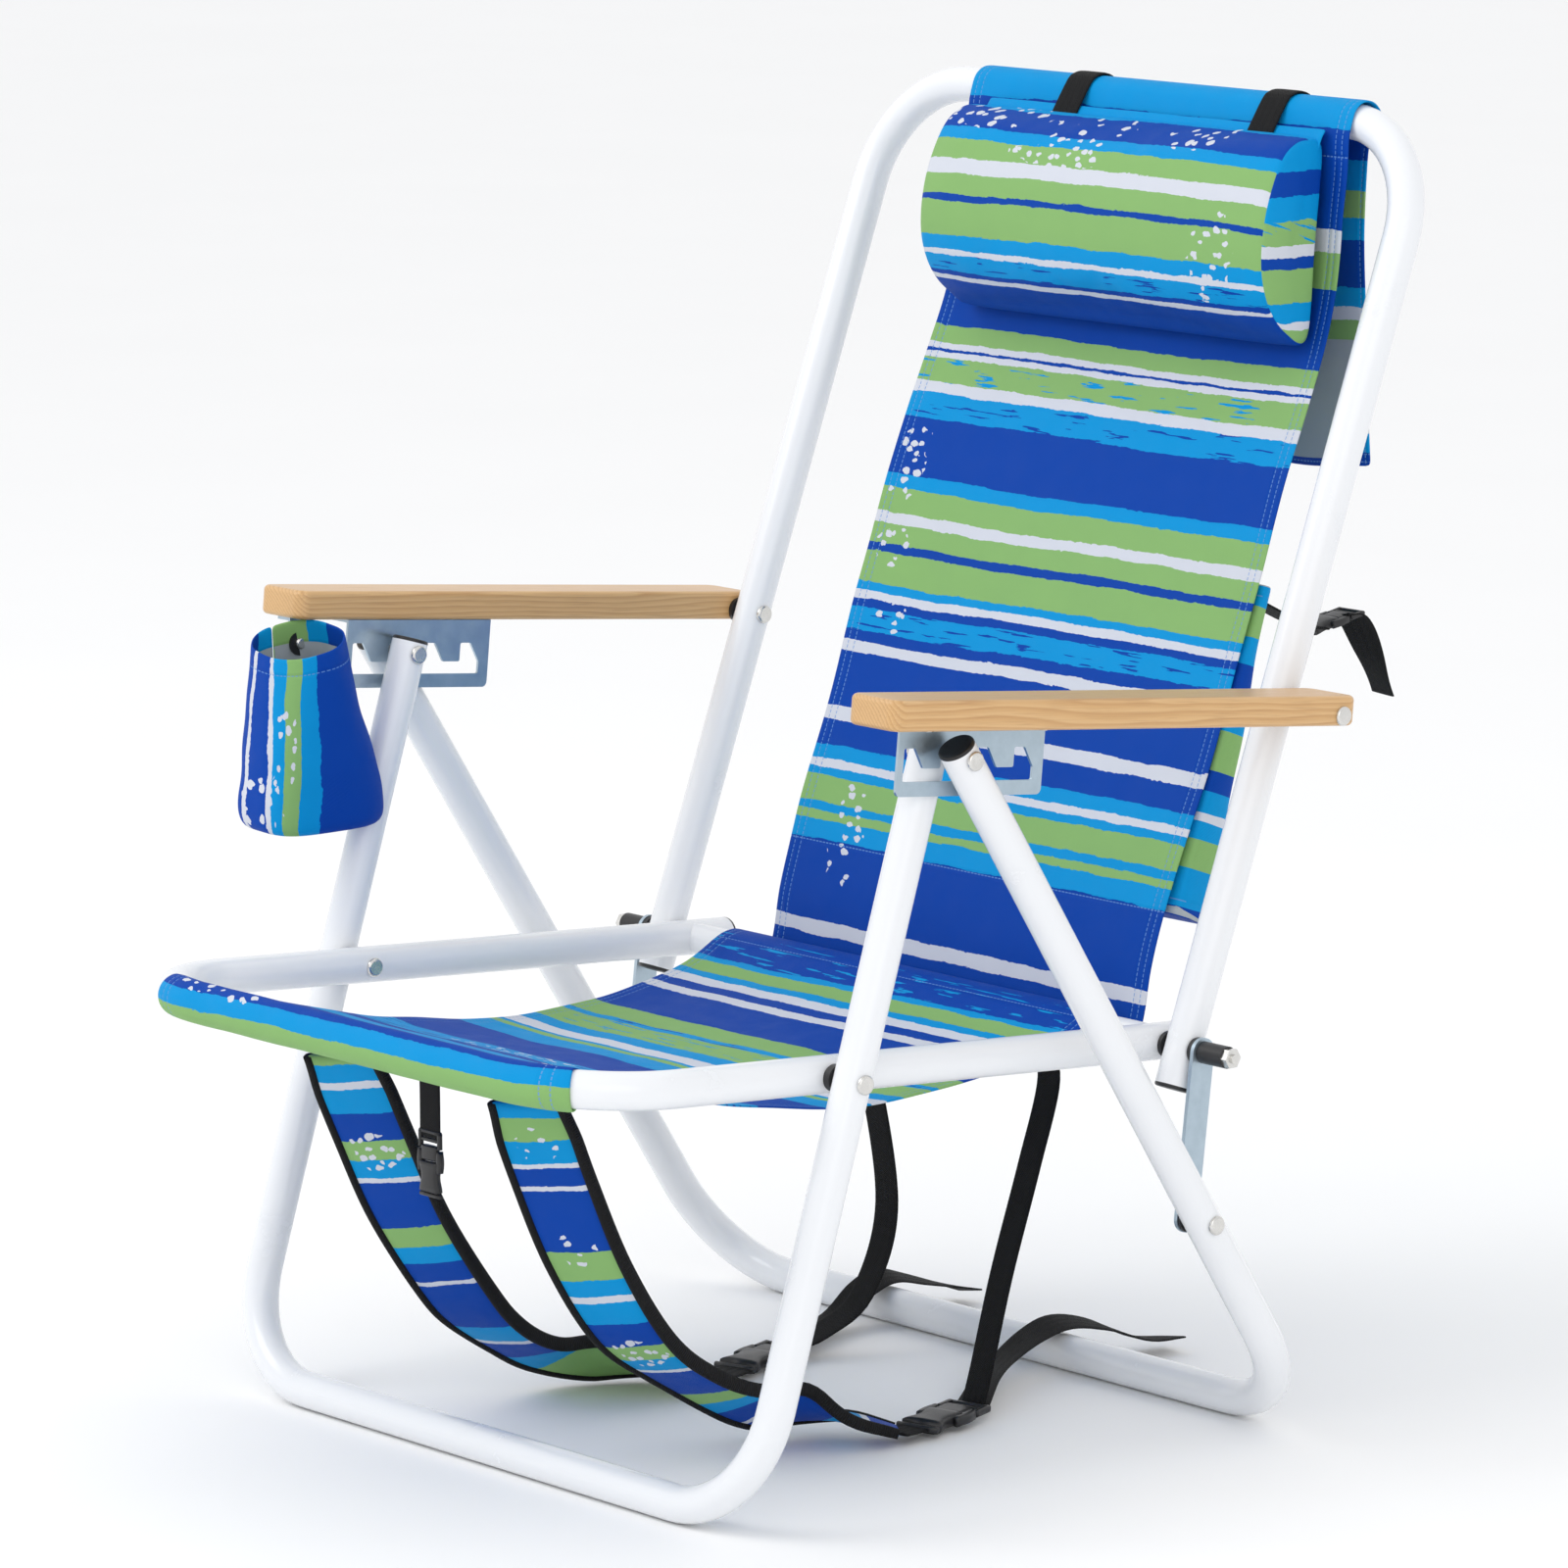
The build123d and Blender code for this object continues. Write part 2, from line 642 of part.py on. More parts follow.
# The notch pins: the pin is split where the bracket swings between its halves
notch_gap = 0.8
front_pin = rod(leg_face - 1, BRACKET_INNER_X - notch_gap, PIN_R, LEG_PIVOT)
front_pin += dome(leg_face, HEAD_R, HEAD_HEIGHT, LEG_PIVOT, outward=-1)
save("notch_pins", pair(front_pin))
rear_outer = REAR_LEG_X + TUBE_R
rear_inner = REAR_LEG_X - TUBE_R
rear_pin = rod(
    BRACKET_INNER_X + BRACKET_SHEET + notch_gap, rear_outer + 1, PIN_R, LEG_PIVOT
)
rear_pin += dome(rear_outer, HEAD_R, HEAD_HEIGHT, LEG_PIVOT)
save("rear_leg_rivets", pair(rear_pin))

# Flat links from the back pivot down to the rear legs
link_dir, link_length = unit(SEAT_BACK_PIVOT, LINK_PIVOT)
link_middle = along(SEAT_BACK_PIVOT, link_dir, link_length / 2)
link_angle = degrees(atan2(link_dir[1], link_dir[0]))
link_face = Rot(0, 0, link_angle) * SlotOverall(link_length + LINK_WIDTH, LINK_WIDTH)
link = side_plane(LINK_INNER_X, link_middle) * extrude(link_face, LINK_THICKNESS)
link -= rod(LINK_INNER_X - 1, link_outer + 1, pin_hole, SEAT_BACK_PIVOT)
save("link_left", link)
save("link_right", mirrored(link))
link_head = dome(LINK_INNER_X, 5.5, 1.4, LINK_PIVOT, outward=-1)
save("link_head_left", link_head)
save("link_head_right", mirrored(link_head))
link_rivet = rod(link_outer + 0.6, rear_outer + 1, PIN_R, LINK_PIVOT)
link_rivet += dome(rear_outer, HEAD_R, HEAD_HEIGHT, LINK_PIVOT)
save("link_rivets", pair(link_rivet))
save(
    "link_spacers",
    pair(ring(link_outer + 0.6, rear_inner, SPACER_R, pin_hole, LINK_PIVOT)),
)
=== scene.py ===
"""Looks of the folding beach chair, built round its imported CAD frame.

Metres, +Z up, the sitter faces -Y and +X is the sitter's left. A side-view
point is a (y, z) pair. Printed cloth carries its print coordinates in
millimetres: u along the stripes and v across them.
"""
import json
import math

import bmesh
import bpy
import numpy as np
from mathutils import Matrix, Vector
from mathutils.noise import noise


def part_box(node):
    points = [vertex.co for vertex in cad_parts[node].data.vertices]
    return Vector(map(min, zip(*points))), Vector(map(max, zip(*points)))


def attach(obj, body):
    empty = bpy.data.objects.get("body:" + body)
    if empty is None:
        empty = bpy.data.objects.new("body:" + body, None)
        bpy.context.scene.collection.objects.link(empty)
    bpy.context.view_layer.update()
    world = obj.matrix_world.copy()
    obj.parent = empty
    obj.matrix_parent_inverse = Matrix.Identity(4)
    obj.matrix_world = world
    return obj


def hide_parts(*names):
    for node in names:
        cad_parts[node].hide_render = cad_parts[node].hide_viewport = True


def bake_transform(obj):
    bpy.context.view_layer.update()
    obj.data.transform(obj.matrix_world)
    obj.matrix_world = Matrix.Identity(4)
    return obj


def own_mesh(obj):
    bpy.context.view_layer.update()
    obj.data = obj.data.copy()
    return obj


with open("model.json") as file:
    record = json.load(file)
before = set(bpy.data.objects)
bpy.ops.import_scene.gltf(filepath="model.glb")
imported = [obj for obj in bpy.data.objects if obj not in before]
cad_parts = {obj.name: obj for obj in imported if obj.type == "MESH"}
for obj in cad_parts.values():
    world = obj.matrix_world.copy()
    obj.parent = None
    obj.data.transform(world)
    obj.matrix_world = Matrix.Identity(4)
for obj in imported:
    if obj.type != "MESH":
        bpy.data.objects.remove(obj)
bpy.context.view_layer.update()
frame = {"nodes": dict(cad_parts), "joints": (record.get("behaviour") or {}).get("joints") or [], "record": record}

MM = 0.001
TUBE_R = 0.0125
CROSS_TUBE_R = 0.011

# ---------------------------------------------------------------------------
# Places taken from the frame
# ---------------------------------------------------------------------------

joint_place = {joint["name"]: joint["pos_m"] for joint in frame["joints"]}
SEAT_BACK = (joint_place["back_fold"][1], joint_place["back_fold"][2])
SEAT_LEG = (joint_place["fold"][1], joint_place["fold"][2])
seat_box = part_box("seat_frame")
back_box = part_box("back_frame")
SEAT_BAR = (seat_box[0].y + TUBE_R, seat_box[1].z - TUBE_R)
BACK_BAR = (back_box[1].y - TUBE_R, back_box[1].z - TUBE_R)
SEAT_RAIL_X = seat_box[1].x - TUBE_R
# Side-view y of the leg pivot in millimetres, and where side-view y is 0
LEG_PIVOT_Y = 149.33
SIDE_ZERO = SEAT_LEG[0] - LEG_PIVOT_Y * MM


def unit2(start, end):
    """Unit vector between two side-view points, and their distance."""
    dy, dz = end[0] - start[0], end[1] - start[1]
    length = math.hypot(dy, dz)
    return (dy / length, dz / length), length


BACK_UP, BACK_LENGTH = unit2(SEAT_BACK, BACK_BAR)
SEAT_REARWARD = unit2(SEAT_BAR, SEAT_BACK)[0]


def side(y, z):
    """Side-view point from millimetres."""
    return (SIDE_ZERO + y * MM, z * MM)


def on_back(up, forward):
    """Side-view point, millimetres up the back and forward of it."""
    return (
        SEAT_BACK[0] + (BACK_UP[0] * up - BACK_UP[1] * forward) * MM,
        SEAT_BACK[1] + (BACK_UP[1] * up + BACK_UP[0] * forward) * MM,
    )


def space(x, y, z):
    """Point in the frame from x, side-view y and z in millimetres."""
    return (x * MM, *side(y, z))


# ---------------------------------------------------------------------------
# Curves and meshes
# ---------------------------------------------------------------------------

def curve(points, count, closed=False):
    """Evenly spaced points on a smooth curve through some points."""
    p = np.array(points, float)
    if closed:
        p = np.vstack([p[-1], p, p[0], p[1]])
    else:
        p = np.vstack([2 * p[0] - p[1], p, 2 * p[-1] - p[-2]])
    fine = []
    for a, b, c, d in zip(p[:-3], p[1:-2], p[2:-1], p[3:]):
        for t in np.linspace(0, 1, 24, endpoint=False):
            fine.append(
                0.5 * (2 * b + (c - a) * t + (2 * a - 5 * b + 4 * c - d) * t * t
                       + (3 * b - a - 3 * c + d) * t ** 3)
            )
    fine.append(p[1] if closed else p[-2])
    fine = np.array(fine)
    run = np.concatenate([[0], np.cumsum(np.linalg.norm(np.diff(fine, axis=0), axis=1))])
    at = np.linspace(0, run[-1], count, endpoint=not closed)
    return np.stack([np.interp(at, run, fine[:, k]) for k in range(fine.shape[1])], axis=1)


def ease(value, low, high):
    """0 below low, 1 above high, smooth between."""
    t = min(max((value - low) / (high - low), 0.0), 1.0)
    return t * t * (3 - 2 * t)


def ripple(x, y, seed, size):
    """Smooth noise between about -1 and 1, with waves of the given size in metres."""
    return noise(Vector((x / size, y / size, seed * 7.31)))


def spread(count):
    """The ends of count equal steps from -1 to 1."""
    return [2 * i / count - 1 for i in range(count + 1)]


class Shape:
    """Vertices, faces and print coordinates of one piece."""

    def __init__(self):
        self.points = []
        self.faces = []
        self.prints = []
        self.materials = []

    def grid(self, rows, prints=None, closed=False, caps=False, material=0):
        """Adds rows of points joined to a sheet, or to a tube if closed."""
        start, wide = len(self.points), len(rows[0])
        for i, row in enumerate(rows):
            for j, point in enumerate(row):
                self.points.append(Vector(point))
                self.prints.append(prints[i][j] if prints else (j * 3.0, i * 3.0))
        last = wide if closed else wide - 1
        for i in range(len(rows) - 1):
            for j in range(last):
                k = (j + 1) % wide
                a, b = start + i * wide, start + (i + 1) * wide
                self.faces.append((a + j, a + k, b + k, b + j))
                self.materials.append(material)
        if caps:
            self.faces.append(tuple(start + j for j in reversed(range(wide))))
            self.faces.append(tuple(start + (len(rows) - 1) * wide + j for j in range(wide)))
            self.materials += [material, material]

    def loft(self, path, half_wide, half_thick, across=(1, 0, 0), offset=0.0, sides=16,
             square=2.6, run=0.0, material=0):
        """Adds a rounded bar along a path. Sizes may be numbers or functions of 0..1."""
        path = [Vector(p) for p in path]
        rows, prints = [], []
        for i, point in enumerate(path):
            share = i / (len(path) - 1)
            tangent = (path[min(i + 1, len(path) - 1)] - path[max(i - 1, 0)]).normalized()
            side_way = Vector(across(share) if callable(across) else across)
            side_way = (side_way - tangent * side_way.dot(tangent)).normalized()
            normal = tangent.cross(side_way)
            if i:
                run += (point - path[i - 1]).length / MM
            wide = half_wide(share) if callable(half_wide) else half_wide
            thick = half_thick(share) if callable(half_thick) else half_thick
            row, row_print = [], []
            for j in range(sides):
                angle = math.tau * j / sides
                c, s = math.cos(angle), math.sin(angle)
                c = math.copysign(abs(c) ** (2 / square), c)
                s = math.copysign(abs(s) ** (2 / square), s)
                row.append(point + side_way * (wide * c + offset) + normal * thick * s)
                row_print.append(((wide * c + offset) / MM, run))
            rows.append(row)
            prints.append(row_print)
        self.grid(rows, prints, closed=True, caps=True, material=material)

    def build(self, name):
        """The piece as a smooth-shaded object."""
        mesh = bpy.data.meshes.new(name)
        mesh.from_pydata([tuple(p) for p in self.points], [], self.faces)
        mesh.validate()
        layer = mesh.uv_layers.new(name="print")
        for loop in mesh.loops:
            layer.data[loop.index].uv = self.prints[loop.vertex_index]
        for face, material in zip(mesh.polygons, self.materials):
            face.use_smooth = True
            face.material_index = material
        thing = bpy.data.objects.new(name, mesh)
        bpy.context.scene.collection.objects.link(thing)
        return thing


def thicken(thing, thickness, lined=False, subdivide=1):
    """Gives a sheet a thickness. If lined, its inner face takes the material after
    its outer face's."""
    solid = thing.modifiers.new("thickness", "SOLIDIFY")
    solid.thickness = thickness
    solid.offset = 0
    if lined:
        solid.material_offset = 1
    if subdivide:
        smooth = thing.modifiers.new("smooth", "SUBSURF")
        smooth.levels = smooth.render_levels = subdivide


def sheet_piece(name, rows, prints, thickness, lined=False):
    """A sheet of cloth from rows of points and their print coordinates."""
    shape = Shape()
    shape.grid(rows, prints)
    thing = shape.build(name)
    thicken(thing, thickness, lined)
    return thing


def finish_piece(thing, body, materials, replaced=()):
    """Material and body of a new piece, and hides the parts it replaces."""
    for material in materials:
        thing.data.materials.append(material)
    if body:
        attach(thing, body)
    if replaced:
        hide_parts(*replaced)
    return thing


# ---------------------------------------------------------------------------
# Materials
# ---------------------------------------------------------------------------

class Graph:
    """A node material written as expressions."""

    def __init__(self, name):
        self.material = bpy.data.materials.new(name)
        self.material.use_nodes = True
        self.tree = self.material.node_tree
        self.tree.nodes.clear()

    def node(self, kind, **settings):
        made = self.tree.nodes.new(kind)
        for key, value in settings.items():
            setattr(made, key, value)
        return made

    def put(self, socket, value):
        if isinstance(value, bpy.types.NodeSocket):
            self.tree.links.new(value, socket)
        elif value is not None:
            socket.default_value = value

    def math(self, operation, a, b=None, c=None):
        made = self.node("ShaderNodeMath", operation=operation)
        for socket, value in zip(made.inputs, (a, b, c)):
            self.put(socket, value)
        return made.outputs[0]

    def plus(self, a, b):
        return self.math("ADD", a, b)

    def minus(self, a, b):
        return self.math("SUBTRACT", a, b)

    def times(self, a, b):
        return self.math("MULTIPLY", a, b)

    def scaled(self, a, scale, shift):
        return self.math("MULTIPLY_ADD", a, scale, shift)

    def sine(self, a, rate):
        return self.math("SINE", self.times(a, rate))

    def mix(self, factor, a, b):
        made = self.node("ShaderNodeMix", data_type="RGBA")
        self.put(made.inputs[0], factor)
        self.put(made.inputs[6], a)
        self.put(made.inputs[7], b)
        return made.outputs[2]

    def ramp(self, factor, stops, step=False):
        made = self.node("ShaderNodeValToRGB")
        ramp = made.color_ramp
        ramp.interpolation = "CONSTANT" if step else "LINEAR"
        while len(ramp.elements) < len(stops):
            ramp.elements.new(1.0)
        for element, (place, colour) in zip(ramp.elements, stops):
            element.position = place
            element.color = colour
        self.put(made.inputs[0], factor)
        return made.outputs[0]

    def vector(self, x, y, z=0.0):
        made = self.node("ShaderNodeCombineXYZ")
        for socket, value in zip(made.inputs, (x, y, z)):
            self.put(socket, value)
        return made.outputs[0]

    def noise(self, where, scale, detail=2.0, rough=0.5):
        made = self.node("ShaderNodeTexNoise")
        self.put(made.inputs["Vector"], where)
        made.inputs["Scale"].default_value = scale
        made.inputs["Detail"].default_value = detail
        made.inputs["Roughness"].default_value = rough
        return made.outputs[0]

    def stretched(self, u, v, per_u, per_v, seed=0.0, detail=2.0):
        """Noise on the print, with its grain per millimetre each way, centred on 0."""
        where = self.vector(self.times(u, per_u), self.times(v, per_v), seed)
        return self.minus(self.noise(where, 1.0, detail), 0.5)

    def bump(self, height, distance, strength=1.0, normal=None):
        made = self.node("ShaderNodeBump")
        made.inputs["Strength"].default_value = strength
        made.inputs["Distance"].default_value = distance
        self.put(made.inputs["Height"], height)
        self.put(made.inputs["Normal"], normal)
        return made.outputs[0]

    def place(self):
        """Position in the part's frame."""
        return self.node("ShaderNodeTexCoord").outputs["Object"]

    def print_uv(self):
        uv = self.node("ShaderNodeUVMap", uv_map="print")
        split = self.node("ShaderNodeSeparateXYZ")
        self.put(split.inputs[0], uv.outputs[0])
        return split.outputs[0], split.outputs[1]

    def surface(self, **values):
        shader = self.node("ShaderNodeBsdfPrincipled")
        for key, value in values.items():
            self.put(shader.inputs[key.replace("_", " ")], value)
        out = self.node("ShaderNodeOutputMaterial")
        self.tree.links.new(shader.outputs[0], out.inputs[0])
        return self.material


def colour(r, g, b):
    return (r, g, b, 1.0)


ROYAL = colour(0.001, 0.058, 0.40)
AZURE = colour(0.001, 0.320, 0.72)
GREEN = colour(0.27, 0.50, 0.16)
WHITE = colour(0.70, 0.73, 0.80)
LINING = colour(0.42, 0.46, 0.48)
THREAD = colour(0.16, 0.34, 0.70)
# A capital is a plain stripe; a small letter has dashes of another colour in it
INKS = {
    "R": (ROYAL, ROYAL), "r": (ROYAL, AZURE),
    "A": (AZURE, AZURE), "a": (AZURE, ROYAL),
    "G": (GREEN, GREEN), "g": (GREEN, AZURE),
    "W": (WHITE, WHITE), "w": (WHITE, AZURE),
}
# The most stops in one colour ramp, and the last stripe's width in millimetres
MAX_STOPS = 30
LAST_STRIPE = 40.0
# Sizes of the stitches, their groove and the weave, in millimetres
STITCH_PITCH = 3.4
STITCH_HALF = 0.42
GROOVE_HALF = 2.4
WEAVE_PITCH = 0.9


def stripe_colour(graph, v, stripes, which):
    """Colour of the stripe list at v; which is 0 for the ink and 1 for its dashes."""
    words = stripes.split()
    bands = [(float(words[i]), INKS[words[i + 1]][which]) for i in range(0, len(words), 2)]
    result = None
    for first in range(0, len(bands), MAX_STOPS):
        chunk = bands[first:first + MAX_STOPS]
        low, high = chunk[0][0], chunk[-1][0] + LAST_STRIPE
        share = graph.math("DIVIDE", graph.minus(v, low), high - low)
        stops = [((start - low) / (high - low), ink) for start, ink in chunk]
        tint = graph.ramp(share, stops, step=True)
        if result is None:
            result = tint
        else:
            result = graph.mix(graph.math("GREATER_THAN", v, low), result, tint)
    return result


def printed_cloth(name, stripes, drops=(), seams=(), seed=0.0, tilt=0.0):
    """Striped brush print on a coated canvas. drops are (u, v, half u, half v)
    patches of white droplets; seams are ("u" or "v", place) rows of stitches."""
    graph = Graph(name)
    u, v = graph.print_uv()
    across = graph.scaled(u, tilt, v)
    wave = graph.times(graph.stretched(u, v, 0.006, 0.010, seed), 7.0)
    brush = graph.times(graph.stretched(u, v, 0.040, 0.20, seed + 3, 4.0), 4.2)
    fringe = graph.times(graph.stretched(u, v, 0.30, 0.55, seed + 5, 3.0), 1.6)
    moved = graph.plus(graph.plus(across, wave), graph.plus(brush, fringe))
    ink = stripe_colour(graph, moved, stripes, 0)
    dash = stripe_colour(graph, moved, stripes, 1)
    dashes = graph.stretched(u, v, 0.028, 0.34, seed + 9, 3.0)
    ink = graph.mix(graph.math("GREATER_THAN", dashes, 0.115), ink, dash)

    patch = None
    for du, dv, half_u, half_v in drops:
        a = graph.math("DIVIDE", graph.minus(u, du), half_u)
        b = graph.math("DIVIDE", graph.minus(v, dv), half_v)
        far = graph.plus(graph.times(a, a), graph.times(b, b))
        inside = graph.minus(1.0, far)
        patch = inside if patch is None else graph.math("MAXIMUM", patch, inside)
    if patch is not None:
        bend = graph.times(graph.stretched(u, v, 0.16, 0.16, seed + 14), 5.0)
        cells = graph.node("ShaderNodeTexVoronoi", voronoi_dimensions="2D")
        cells.inputs["Scale"].default_value = 1.0
        graph.put(cells.inputs["Vector"], graph.vector(
            graph.times(graph.plus(u, bend), 0.100),
            graph.times(graph.minus(v, bend), 0.145)))
        chance = graph.node("ShaderNodeSeparateColor")
        graph.put(chance.inputs[0], cells.outputs["Color"])
        loose = graph.stretched(u, v, 0.05, 0.08, seed + 12)
        ragged = graph.plus(patch, graph.times(loose, 2.4))
        size = graph.scaled(chance.outputs[0], 0.21, 0.18)
        near = graph.math("LESS_THAN", cells.outputs["Distance"], size)
        near = graph.times(near, graph.math("GREATER_THAN", chance.outputs[1], 0.38))
        drop = graph.times(near, graph.math("GREATER_THAN", ragged, 0.12))
        ink = graph.mix(drop, ink, WHITE)

    height = graph.times(graph.stretched(u, v, 0.02, 0.03, seed + 1, 3.0), 0.9)
    for axis, spot in seams:
        far, run = (u, v) if axis == "u" else (v, u)
        away = graph.math("ABSOLUTE", graph.minus(far, spot))
        gap = graph.math("FRACT", graph.times(run, 1 / STITCH_PITCH))
        stitch = graph.times(graph.math("LESS_THAN", away, STITCH_HALF),
                             graph.math("LESS_THAN", gap, 0.66))
        ink = graph.mix(graph.times(stitch, 0.75), ink, THREAD)
        beside = graph.math("MINIMUM", graph.math("DIVIDE", away, GROOVE_HALF), 1.0)
        groove = graph.minus(1.0, beside)
        height = graph.minus(height, graph.times(groove, 0.55))

    threads = math.tau / WEAVE_PITCH
    weave = graph.times(graph.sine(u, threads), graph.sine(v, threads))
    shade = graph.scaled(weave, 0.05, 0.5)
    blotch = graph.scaled(graph.stretched(u, v, 0.03, 0.03, seed + 21), 0.30, shade)
    ink = graph.mix(graph.times(blotch, 0.20), ink, colour(0.0, 0.02, 0.10))
    normal = graph.bump(weave, 0.00012, 0.55, graph.bump(height, 0.0012, 0.8))
    rough = graph.scaled(graph.stretched(u, v, 0.05, 0.05, seed + 30), 0.25, 0.56)
    return graph.surface(Base_Color=ink, Roughness=rough, Normal=normal,
                         Specular_IOR_Level=0.10)


def coated_lining():
    """Grey coated back of the cloth."""
    graph = Graph("grey_lining")
    u, v = graph.print_uv()
    weave = graph.times(graph.sine(u, 7.0), graph.sine(v, 7.0))
    blotch = graph.plus(graph.stretched(u, v, 0.03, 0.03, 2.0, 4.0), 0.5)
    tint = graph.mix(graph.times(blotch, 0.6), LINING, colour(0.28, 0.33, 0.37))
    return graph.surface(Base_Color=tint, Roughness=0.42, Normal=graph.bump(weave, 0.0001, 0.5))


def webbing():
    """Black polypropylene webbing: ribs across the band, in a chevron."""
    graph = Graph("black_webbing")
    u, v = graph.print_uv()
    slant = graph.math("PINGPONG", u, 3.0)
    ribs = graph.sine(graph.plus(v, slant), math.tau / 1.7)
    fuzz = graph.plus(graph.stretched(u, v, 0.8, 0.8, 4.0, 3.0), 0.5)
    tint = graph.mix(graph.scaled(ribs, 0.2, fuzz), colour(0.002, 0.002, 0.002),
                     colour(0.013, 0.013, 0.014))
    return graph.surface(Base_Color=tint, Roughness=0.72, Specular_IOR_Level=0.22,
                         Normal=graph.bump(ribs, 0.0004, 0.8))


def white_coat():
    """Gloss white powder coat with a faint orange peel and rubbed patches."""
    graph = Graph("white_powder_coat")
    where = graph.place()
    peel = graph.noise(where, 900.0, 2.0)
    wear = graph.noise(where, 14.0, 6.0, 0.7)
    scuff = graph.ramp(wear, [(0.0, colour(0.82, 0.835, 0.86)), (0.62, colour(0.82, 0.835, 0.86)),
                              (0.80, colour(0.74, 0.76, 0.79))])
    rough = graph.scaled(wear, 0.16, 0.17)
    return graph.surface(Base_Color=scuff, Roughness=rough, Coat_Weight=0.35, Coat_Roughness=0.12,
                         Normal=graph.bump(peel, 0.00012, 0.35))


def moulded_plastic():
    """Black moulded plastic with a fine spark-eroded grain."""
    graph = Graph("black_plastic")
    where = graph.place()
    grain = graph.noise(where, 1500.0, 3.0)
    rub = graph.noise(where, 60.0, 4.0)
    tint = graph.mix(rub, colour(0.004, 0.004, 0.005), colour(0.018, 0.018, 0.020))
    rough = graph.scaled(rub, 0.25, 0.26)
    return graph.surface(Base_Color=tint, Roughness=rough, Normal=graph.bump(grain, 0.0002, 0.4))


def plated(name, light, dark, rough_low, spangle):
    """Plated steel with cloudy crystals and fine scratches."""
    graph = Graph(name)
    where = graph.place()
    cloud = graph.noise(where, spangle, 5.0, 0.65)
    scratch = graph.noise(where, 700.0, 2.0)
    tint = graph.mix(cloud, dark, light)
    rough = graph.scaled(cloud, 0.22, rough_low)
    return graph.surface(Base_Color=tint, Metallic=0.92, Roughness=rough,
                         Normal=graph.bump(scratch, 0.00006, 0.5))


# The armrest's front and rear in the side view, the height of the wood's heart,
# and how many rings there are in a metre
ARMREST_FRONT = side(133.0, 534.1)
ARMREST_REAR = side(538.5, 492.6)
HEART_Z = 0.47
RINGS = 430.0


def oiled_wood(name, heart_x):
    """Honey-coloured wood: rings round a heart beside the board, stretched along it."""
    graph = Graph(name)
    lie = math.atan2(*reversed(unit2(ARMREST_FRONT, ARMREST_REAR)[0]))
    turn = graph.node("ShaderNodeMapping")
    turn.inputs["Rotation"].default_value = (-lie, 0, 0)
    graph.put(turn.inputs["Vector"], graph.place())
    split = graph.node("ShaderNodeSeparateXYZ")
    graph.put(split.inputs[0], turn.outputs[0])
    x, y, z = split.outputs
    drift = graph.noise(graph.vector(graph.times(x, 18), graph.times(y, 3.0),
                                     graph.times(z, 18)), 1.0, 3.0)
    dx = graph.minus(x, heart_x)
    dz = graph.minus(z, HEART_Z)
    out = graph.math("SQRT", graph.plus(graph.times(dx, dx), graph.times(dz, dz)))
    bent = graph.times(drift, 7.0)
    rings = graph.math("FRACT", graph.scaled(out, RINGS, bent))
    pore = graph.noise(graph.vector(graph.times(x, 1500), graph.times(y, 28),
                                    graph.times(z, 1500)), 1.0, 3.0)
    tint = graph.ramp(rings, [(0.0, colour(0.67, 0.42, 0.19)), (0.50, colour(0.60, 0.35, 0.14)),
                              (0.84, colour(0.51, 0.275, 0.10)), (1.0, colour(0.64, 0.39, 0.17))])
    streak = graph.ramp(pore, [(0.0, colour(0, 0, 0)), (0.52, colour(0, 0, 0)),
                               (0.72, colour(1, 1, 1))])
    tint = graph.mix(graph.times(streak, 0.48), tint, colour(0.33, 0.16, 0.055))
    tint = graph.mix(graph.times(drift, 0.30), tint, colour(0.74, 0.49, 0.24))
    rough = graph.scaled(pore, 0.20, 0.30)
    return graph.surface(Base_Color=tint, Roughness=rough, Coat_Weight=0.25, Coat_Roughness=0.22,
                         Normal=graph.bump(pore, 0.0003, 0.35))


SEAT_PRINT = (
    "-140 G -68 A -57 R 60 A 84 R 102 a 135 R 192 A 218 G 227 A 232 W 245 A 260 g "
    "283 a 292 G 314 R 357 W 366 R 376 W 385 A 391 G 405 A 410 r 435 R"
)
BACK_PRINT = (
    "-40 R 22 W 32 R 86 A 101 G 106 A 112 G 131 A 137 W 144 A 154 R 172 W 181 R 222 W 230 R "
    "239 a 254 R 261 W 267 A 272 G 294 R 301 G 316 W 324 G 341 A 352 R 395 a 413 W 420 g 438 W "
    "444 R 446 W 450 G 463 R 480 R 520 G 545 W 560 R 590 R 624 A 700 R"
)
PILLOW_PRINT = (
    "440 R 479 W 484 R 488 a 501 W 505 A 515 G 538 R 543 G 558 W 569 G 583 A 592 R 613 A 640 A"
)
END_PRINT = "-80 A 470 G 486 W 493 A 506 G 532 R 540 W 549 g 566 A 583 R 600 A"
POUCH_PRINT = "-140 G -118 A -96 R -64 W -60 R -47 W -43 A -32 G -19 A -6 R 60 A 80 G"
STRAP_PRINT = (
    "-10 A 10 G 28 A 44 W 49 R 62 W 66 R 112 G 134 A 148 W 153 A 172 R 196 G 212 A 226 W 231 R "
    "266 G 284 A 300 R 316 W 321 R 366 A 388 W 393 R 420 A 440 G"
)
BAG_PRINT = (
    "60 R 92 A 118 G 138 A 150 W 156 A 172 R 186 G 214 A 226 W 234 R 262 A 280 G 300 A 330 R"
)
FLAP_PRINT = (
    "380 R 424 A 436 W 442 R 470 G 486 R 494 G 508 W 516 A 530 R 560 A 574 G 592 A 612 R 640 A"
)

# Double stitching down both side hems of the seat and the back
HEMS = [("u", -184), ("u", -178), ("u", 184), ("u", 178)]

